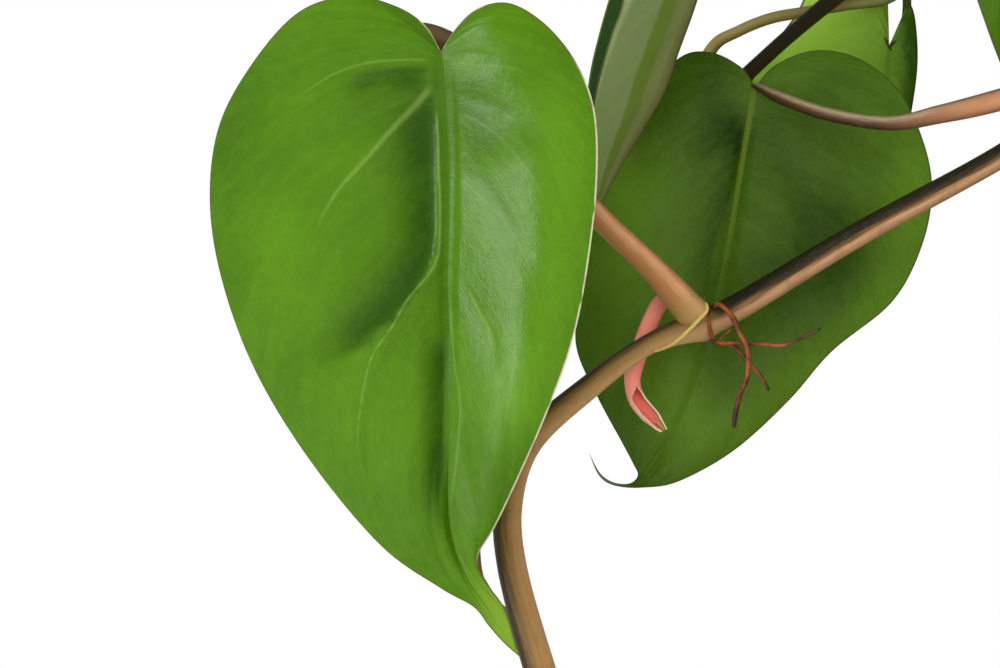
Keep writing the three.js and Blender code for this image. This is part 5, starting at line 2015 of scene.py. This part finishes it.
@dataclass
class FacingVines:
    """The two vines that carry the leaves facing the front."""

    # From the root to the growing tip: x, y, z and radius in mm
    FRONT = (
        (-16, -12, 90, 2.3), (-16, -12, 105, 2.3), (-16, -12, 118, 2.3), (-18.5, -16, 132, 2.3),
        (-23.5, -22.5, 147, 2.3), (-33, -30, 158.5, 2.3), (-46, -36, 161.5, 2.6), (-62, -40, 155, 2.2),
        (-79.8, -42, 143.2, 2), (-103.7, -43, 130.1, 2.1), (-124.2, -44, 117.8, 2.3),
        (-131, -45, 114.6, 2.5), (-139.8, -46, 111.2, 1.75), (-149.9, -48, 104, 2.05),
        (-159.9, -50, 94.9, 2.3), (-163.5, -52, 85, 2.4), (-163, -54, 73.9, 2.5), (-158.4, -56, 56.8, 2.7),
        (-152, -59, 38, 2.7), (-147.5, -63.5, 22, 2.6), (-148, -69, 10.5, 2.4), (-155, -76, 4.6, 2.3),
        (-167, -84, 3.2, 2.2), (-183, -94, 3.2, 2.1), (-199, -104, 3.2, 1.9), (-214, -112, 3.2, 1.6),
        (-226, -117, 4.2, 0.5),
    )
    BACK = (
        (-22, 6, 90, 2.2), (-22, 6, 105, 2.2), (-22, 6, 118, 2.2), (-23.5, 5.7, 135, 2.2), (-28, 5, 153, 2.2),
        (-38, 4, 172, 2.3), (-53, 2, 187, 2.3), (-72, 0, 192, 2.1), (-90, -3, 185, 2.3),
        (-106.1, -6, 172.2, 1.5), (-120.3, -12, 159.8, 1.3), (-138.8, -13, 141.7, 1.8),
        (-149.3, -14, 128.5, 2), (-158, -15, 113.7, 2), (-165, -16, 98, 2), (-169.7, -18, 84.1, 2),
        (-170.2, -20, 73.9, 1.9), (-168.3, -23, 67.5, 1.8), (-164.4, -25.2, 63.8, 1.8), (-160, -28, 60, 1.8),
        (-157.2, -30, 53, 1.9), (-156.8, -30.5, 42, 2), (-158.5, -28, 29, 2.1), (-163, -24, 17, 2),
        (-171, -18, 7.5, 2), (-184, -11, 3.2, 2), (-200, -3, 3.2, 2), (-220, 6, 3.2, 1.7),
        (-238, 14, 3.2, 0.5),
    )
    FRONT_STALK = (
        (-130.4, -45, 114.2, 2.9), (-134.7, -46.6, 119.3, 2.7), (-139.8, -49, 124.8, 2.2),
        (-148.6, -53, 133.1, 2), (-157.4, -58, 143, 2), (-164.5, -61.5, 152.6, 2), (-169.4, -63, 158.4, 2),
        (-173.5, -63.5, 161.6, 2), (-178.3, -64, 163.2, 1.9), (-181, -65, 161.4, 1.8),
        (-179.4, -66.8, 158.4, 1.6), (-175.4, -68.9, 157.2, 1.3), (-174.6, -69.3, 152, 0.4),
    )
    BACK_STALK = (
        (-42, -34.5, 161.2, 2), (-60, -43.5, 158.5, 1.9), (-80, -46, 152.8, 1.9), (-90.3, -47, 150.3, 1.6),
        (-98.8, -46, 148.8, 1.25), (-108.8, -42, 150.4, 1.15), (-116.6, -35.4, 153.4, 1.1),
        (-119.6, -30.6, 155.1, 0.85), (-121, -28.6, 155.9, 0.5), (-121.6, -27.4, 155.7, 0.3),
    )
    BEHIND_STALK = (
        (-131, -12.8, 149.2, 1.5), (-131.2, -4, 155, 1.3), (-127.5, 1, 163.5, 1.1), (-122.9, 1.2, 166.5, 1),
        (-117, 0, 168.8, 1), (-110.5, -1, 169.9, 1), (-103.3, -2, 171.1, 1), (-98, 0, 171.8, 1),
        (-95, 4, 173.2, 1), (-93.6, 9, 174.8, 0.9), (-92.4, 12.8, 173.2, 0.8), (-92.6, 13, 168.5, 0.8),
        (-93.8, 12.2, 164.6, 0.8), (-95.6, 9.4, 161.8, 0.8),
    )
    AERIAL_ROOTS = (
        (
            (-129.4, -45.2, 116.4, 0.42), (-128.2, -47.4, 118, 0.42), (-126.7, -48.8, 117.2, 0.42),
            (-125.3, -49.7, 115.2, 0.52), (-124.5, -50.1, 113.4, 0.4), (-123.1, -50.6, 110.2, 0.5),
            (-123.2, -51, 105.8, 0.38), (-124.2, -51.4, 103.2, 0.4), (-125.2, -51.8, 99.8, 0.46),
            (-125.5, -52, 97.1, 0.36),
        ),
        (
            (-129.6, -46.4, 117.8, 0.24), (-129.6, -47.7, 115.3, 0.28), (-129, -48.4, 112.2, 0.4),
            (-127.8, -49.2, 111.5, 0.38), (-125.8, -49.9, 111.4, 0.34), (-123.2, -49.6, 111.4, 0.34),
            (-120.1, -49.8, 111.2, 0.32), (-117, -50.4, 111.1, 0.32), (-113.6, -51.2, 112.5, 0.28),
            (-110.8, -52, 113.9, 0.24),
        ),
        (
            (-127.6, -49.2, 111.8, 0.3), (-125.6, -49.4, 111, 0.36), (-123.7, -49.4, 109.1, 0.34),
            (-122.2, -49.8, 107.3, 0.36), (-120.6, -50.4, 105.5, 0.34), (-119.5, -51, 103.3, 0.26),
        ),
        ((-128, -49, 111.8, 0.2), (-126.8, -49.4, 112.9, 0.2), (-125.4, -49.6, 114.2, 0.2)),
    )
    SHEATH = (
        (-131.4, -44, 115, 1.2), (-134, -41.2, 118.2, 1.4), (-137, -40.3, 118.8, 1.45),
        (-139.2, -40.3, 115.4, 1.45), (-140.7, -40.4, 111.4, 1.5), (-142.1, -40.5, 107.2, 1.5),
        (-142.4, -40.6, 104.6, 1.4), (-141.6, -40.8, 101.8, 1.5), (-139.9, -41, 99.7, 1.55),
        (-138.4, -41.2, 98.1, 1.2), (-136.8, -41.3, 96.3, 0.5),
    )
    SCAR = (
        (-130.1, -46.8, 118.4, 0.25), (-129.9, -47.7, 117, 0.32), (-131.4, -48.2, 115.3, 0.36),
        (-132.9, -47.9, 113.7, 0.36), (-134.3, -47.2, 112.4, 0.36), (-136.2, -46.9, 111, 0.32),
        (-139, -46.9, 109.9, 0.2),
    )

    def front_vine(self) -> Vine:
        """Plans the vine with the front leaf, its roots and its torn sheath.

        Returns:
            The vine.
        """
        growth = {"nodes": [6.0, 11.0], "later_from": 0.45, "later_to": 0.475}
        stem = Stem("stem", self.FRONT, VINE_SKIN, sides=28, **growth)
        vine = Vine("vine_front", stem)
        front = Stem(
            "Front stalk", self.FRONT_STALK, RED_STALK_SKIN_AND_HIGHLIGHT, nodes=[0.5], node_swell=0.0, later_from=0.6,
            later_to=0.76,
        )
        back = Stem("Back stalk", self.BACK_STALK, SHEATH_STALK_SKIN_AND_HIGHLIGHT, later_from=0.44, later_to=0.7)
        roots = [
            Stem(
                "Root", route, ROOT_SKIN, step=0.25 * MM, sides=10, roughen=0.03 * MM,
                later_from=0.7, later_to=0.95,
            )
            for route in self.AERIAL_ROOTS
        ]
        scar = Stem("Scar", self.SCAR, SCAR_SKIN, step=0.3 * MM, sides=12)
        vine.limbs += [stem.build() for stem in (front, back, scar, *roots)]
        vine.limbs.append(TornSheath(self.SHEATH).build())
        vine.add_heart("leaf_front_top", 4, (-60, -39, 201), 200, 12, 66, DEEP_LEAF)
        vine.add_heart("leaf_front_low", 19, (-128, -92, 42), 262, 26, 66, YOUNG_LEAF)
        vine.add_heart("leaf_front_end", 23, (-206, -78, 26), 176, 12, 56, DEEP_LEAF)
        return vine

    def back_vine(self) -> Vine:
        """Plans the vine behind, with the narrow leaf and the corner leaf.

        Returns:
            The vine.
        """
        stem = Stem("stem", self.BACK, SHADED_DARK_VINE_SKIN, step=0.6 * MM, later_from=0.4, later_to=0.6)
        vine = Vine("vine_back", stem)
        behind = Stem("Behind stalk", self.BEHIND_STALK, OLIVE_STALK_SKIN, sides=18, later_to=0.7)
        vine.limbs.append(behind.build())
        vine.add_stalk("leaf_narrow", 8, FacingLeaves.NARROW_FRAME, FacingLeaves.NARROW_LENGTH)
        vine.add_heart("leaf_corner", 5, (-63, -11, 205), 190, 80, 60, YOUNG_LEAF, -88, arch=0.2)
        vine.add_heart("leaf_back_top", 6, (-74, 44, 210), 152, 12, 74, DEEP_LEAF)
        vine.add_heart("leaf_back_low", 22, (-176, 10, 42), 128, 24, 66, DEEP_LEAF)
        vine.add_heart("leaf_back_end", 26, (-218, -24, 24), 196, 10, 54, YOUNG_LEAF)
        return vine

    def build(self, pattern: Piece) -> None:
        """Builds both vines with the flat pattern of their leaves."""
        self.front_vine().build(pattern)
        self.back_vine().build(pattern)


# Pot and soil


@dataclass
class Pot:
    """Plain tapered clay pot with a collar rim and drain holes."""

    height: float = 0.125
    rim_radius: float = 0.070
    shoulder_radius: float = 0.062
    foot_radius: float = 0.047
    collar_height: float = 0.028
    lip: float = 0.0035
    wall: float = 0.005
    floor: float = 0.007
    edge: float = 0.0016
    sides: int = 128
    drain_holes: int = 3
    drain_radius: float = 0.0045
    drain_circle: float = 0.022
    drain_sides: int = 32
    bevel: float = 0.6 * MM
    bevelled_from: float = 35.0
    sharp_from: float = 30.0

    def profile(self) -> list[tuple[float, float]]:
        """Lists the pot's outline from the foot, up the outside and down the inside.

        Returns:
            Radius and height of each point.
        """
        collar_foot = self.height - self.collar_height
        inner_rim = self.rim_radius - self.wall - self.edge
        under_lip = self.rim_radius - self.lip
        return [
            (self.foot_radius - self.edge, 0.0),
            (self.foot_radius, self.edge),
            (self.shoulder_radius, collar_foot),
            (under_lip, collar_foot),
            (under_lip + self.edge, collar_foot + self.edge),
            (self.rim_radius, self.height - self.edge),
            (self.rim_radius - self.edge, self.height),
            (inner_rim + self.edge, self.height),
            (inner_rim, self.height - self.edge),
            (self.shoulder_radius - self.wall, collar_foot),
            (self.foot_radius - self.wall, self.floor),
        ]

    def walls(self) -> Piece:
        """Extrudes a disc up the outside and down the inside.

        Returns:
            The pot without its holes.
        """
        (radius, height), *rest = self.profile()
        disc = {"vertices": self.sides, "radius": radius, "fill_type": "NGON"}
        pot = add(bpy.ops.mesh.primitive_circle_add, "Pot", **disc)
        bpy.ops.object.mode_set(mode="EDIT")
        bpy.ops.mesh.select_all(action="SELECT")
        for next_radius, next_height in rest:
            bpy.ops.mesh.extrude_region_move(TRANSFORM_OT_translate={"value": (0, 0, next_height - height)})
            share = next_radius / radius
            bpy.ops.transform.resize(value=(share, share, 1), center_override=(0, 0, next_height))
            radius, height = next_radius, next_height
        bpy.ops.object.mode_set(mode="OBJECT")
        return pot

    def drill(self, pot: Piece) -> None:
        """Cuts the drain holes through the floor.

        Args:
            pot: The pot to cut.
        """
        for i in range(self.drain_holes):
            turn = math.tau * i / self.drain_holes
            place = (self.drain_circle * math.cos(turn), self.drain_circle * math.sin(turn), 0)
            drill = add(
                bpy.ops.mesh.primitive_cylinder_add, "Drill", vertices=self.drain_sides,
                radius=self.drain_radius, depth=4 * self.floor, location=place,
            )
            apply_modifier(pot, "BOOLEAN", operation="DIFFERENCE", solver="EXACT", object=drill)
            bpy.data.objects.remove(drill)

    def build(self) -> None:
        """Builds and dresses the pot."""
        pot = self.walls()
        weld(pot)
        self.drill(pot)
        apply_modifier(
            pot, "BEVEL", width=self.bevel, segments=2, limit_method="ANGLE",
            angle_limit=math.radians(self.bevelled_from),
        )
        pot.data.materials.append(ClayFinish().material())
        shade(pot, self.sharp_from)
        hand_over(pot, "pot")


@dataclass
class Soil:
    """Potting soil with crumbs of bark and white grit on top."""

    top: float = 0.112
    radius: float = 0.056
    grain: float = 2.2 * MM
    lump: float = 3.0 * MM
    crumbs: int = 170
    white_every: int = 6
    seed: int = 97

    # Width, layers and middle height of the lumps, and the rim and depth that they leave out
    LUMP_WIDTH, LUMP_LAYERS, LUMP_LEVEL = 8 * MM, 3, 0.45
    EVEN_RIM, RAISED_DEPTH = 2 * MM, 4 * MM
    # The rim that the crumbs leave out, and how high they lie
    CRUMB_RIM, CRUMB_LIFT = 3 * MM, 1.4 * MM
    # Middle size of a crumb and its spread in mm, and their shares across and upwards
    WHITE_SIZE, BARK_SIZE, SQUASH = (2.2, 0.9), (3.6, 2.0), ((0.75, 0.2), (0.5, 0.15))
    # How deeply two waves dent a crumb, and how they run
    DENTS = (0.22, (9.0, 5.0, 7.0)), (0.12, (-6.0, 11.0, 4.0))

    def bed(self) -> Piece:
        """Copies the plain solid, closes it and roughens its top.

        Returns:
            The soil without its crumbs.
        """
        bed = copy_of(bpy.data.objects["soil"], "Soil")
        weld(bed, COARSE_GAP)
        apply_modifier(bed, "REMESH", mode="VOXEL", voxel_size=self.grain)
        lumps = bpy.data.textures.new("Soil lumps", "CLOUDS")
        lumps.noise_scale = self.LUMP_WIDTH
        lumps.noise_depth = self.LUMP_LAYERS
        raised = bed.vertex_groups.new(name="top")
        for vertex in bed.data.vertices:
            inside = vertex.co.xy.length < self.radius - self.EVEN_RIM
            if vertex.co.z > self.top - self.RAISED_DEPTH and inside:
                raised.add([vertex.index], 1.0, "REPLACE")
        apply_modifier(
            bed, "DISPLACE", texture=lumps, strength=self.lump, mid_level=self.LUMP_LEVEL,
            texture_coords="LOCAL", vertex_group="top",
        )
        bed.data.materials.clear()
        bed.data.materials.append(SOIL_SKIN.material())
        return bed

    def crumb(self, name: str, finish: BarkFinish) -> Piece:
        """Models one crumb 1 across.

        Args:
            name: The crumb's name.
            finish: Its finish.

        Returns:
            The crumb.
        """
        crumb = add(bpy.ops.mesh.primitive_ico_sphere_add, name, subdivisions=2, radius=0.5)
        corners = corners_of(crumb)
        (coarse, coarse_wave), (fine, fine_wave) = self.DENTS
        dent = 1 + coarse * np.sin(corners @ coarse_wave) + fine * np.cos(corners @ fine_wave)
        set_corners(crumb, corners * dent[:, None])
        crumb.data.materials.append(finish.material())
        return crumb

    def scatter(self) -> list[Piece]:
        """Copies the crumbs over the soil.

        Returns:
            The copies.
        """
        bark = self.crumb("Bark", CRUMB_SKIN)
        grit = self.crumb("Grit", GRIT_SKIN)
        dice = Dice(self.seed)
        copies = []
        for i in range(self.crumbs):
            reach = (self.radius - self.CRUMB_RIM) * math.sqrt(abs(dice.roll()))
            turn = math.pi * dice.roll()
            white = i % self.white_every == 0
            copy = copy_of(grit if white else bark, "crumb")
            middle, spread = self.WHITE_SIZE if white else self.BARK_SIZE
            size = (middle + spread * dice.roll()) * MM
            squash = np.array([1.0, *(share + differ * dice.roll() for share, differ in self.SQUASH)])
            corners = corners_of(copy) * squash * size
            spin = math.pi * dice.roll()
            cos, sin = math.cos(spin), math.sin(spin)
            turned = corners @ np.array([[cos, sin, 0], [-sin, cos, 0], [0, 0, 1]])
            place = (reach * math.cos(turn), reach * math.sin(turn), self.top + self.CRUMB_LIFT)
            set_corners(copy, turned + np.array(place))
            copies.append(copy)
        bpy.data.objects.remove(bark)
        bpy.data.objects.remove(grit)
        return copies

    def build(self) -> None:
        """Builds and dresses the soil."""
        bed = self.bed()
        soil = joined([bed, *self.scatter()], "Soil")
        shade(soil, 60)
        hand_over(soil, "soil")


# Stage


@dataclass(frozen=True)
class SoftLight:
    """Square light, which may also show in glossy faces and count less on matt ones."""

    name: str
    place: Point
    target: Point
    width: float
    height: float
    watts: float
    mirrored: bool = False
    diffuse: float = 1.0

    def build(self) -> None:
        """Adds the light."""
        aim = (Vector(self.target) - Vector(self.place)).to_track_quat("-Z", "Y").to_euler()
        light = add(bpy.ops.object.light_add, self.name, type="AREA", location=self.place, rotation=aim)
        light.data.shape = "RECTANGLE"
        light.data.size = self.width
        light.data.size_y = self.height
        light.data.energy = self.watts
        light.data.diffuse_factor = self.diffuse
        light.visible_glossy = self.mirrored


@dataclass
class Studio:
    """Pale floor, soft light and the photograph's camera."""

    view_from: Point = (-0.165, -1.2, 0.113)
    seen_width: float = 0.17
    seen_distance: float = 1.155
    sensor: float = 36.0
    floor_size: float = 2.1
    floor_centre: Point = (-0.03, 0.0, 0.0)
    sky: float = 0.3
    white: Colour = (1.0, 1.0, 1.0, 1.0)
    nearest: float = 0.05

    def light(self) -> None:
        """Sets the lights."""
        leaf = (-0.17, -0.07, 0.12)
        SoftLight(
            "Key light", (-0.95, -0.84, 0.46), leaf, 0.42, 0.9, 11.0, mirrored=True, diffuse=0.55
        ).build()
        SoftLight("Front light", (-0.05, -1.25, 0.3), leaf, 1.5, 1.5, 16.5).build()
        SoftLight("Back light", (0.35, 1.15, 0.95), (-0.03, 0.0, 0.1), 1.2, 1.2, 10.0).build()

    def sky_light(self) -> None:
        """Makes the surroundings white to the camera and softer as a light."""
        world = bpy.data.worlds.new("Studio")
        bpy.context.scene.world = world
        mix = Recipe(world)
        seen = mix.node("Background", {"Color": self.white})
        lit = mix.node("Background", {"Color": self.white, "Strength": self.sky})
        path = mix.node("LightPath", {})
        inputs = {0: path.outputs["Is Camera Ray"], 1: lit.outputs[0], 2: seen.outputs[0]}
        mix.node("OutputWorld", {"Surface": mix.node("MixShader", inputs).outputs[0]})
        bpy.context.scene.view_settings.view_transform = "Standard"

    def floor(self) -> None:
        """Lays the floor."""
        square = {"size": self.floor_size, "location": self.floor_centre}
        floor = add(bpy.ops.mesh.primitive_plane_add, "Floor", **square)
        floor.data.materials.append(FloorFinish().material())
        floor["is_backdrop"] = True

    def camera(self) -> None:
        """Puts the camera where the photograph was taken from."""
        pose = {"location": self.view_from, "rotation": (math.pi / 2, 0, 0)}
        camera = add(bpy.ops.object.camera_add, "Camera", **pose)
        camera.data.sensor_width = self.sensor
        camera.data.lens = self.sensor * self.seen_distance / self.seen_width
        camera.data.clip_start = self.nearest
        bpy.context.scene.camera = camera

    def build(self) -> None:
        """Builds the stage."""
        self.camera()
        self.sky_light()
        self.light()
        self.floor()


def write_sizes() -> None:
    boxes = {"cad": CAD_BOX, "visual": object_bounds()}
    boxes = {name: [list(corner) for corner in box] for name, box in boxes.items()}


def main() -> None:
    """Builds the plant, its pot and the stage."""
    logging.basicConfig(level=logging.INFO, format="%(message)s")
    Studio().build()
    fine = LeafPattern("Large leaf pattern", 144, 96).build()
    plain = LeafPattern("Leaf pattern", 48, 36).build()
    FacingLeaves().build(fine)
    FacingVines().build(plain)
    TrailingVines().build(plain)
    MiddleVine().build(plain)
    for pattern in (fine, plain):
        bpy.data.objects.remove(pattern)
    Pot().build()
    Soil().build()
    write_sizes()


if __name__ == "__main__":
    main()
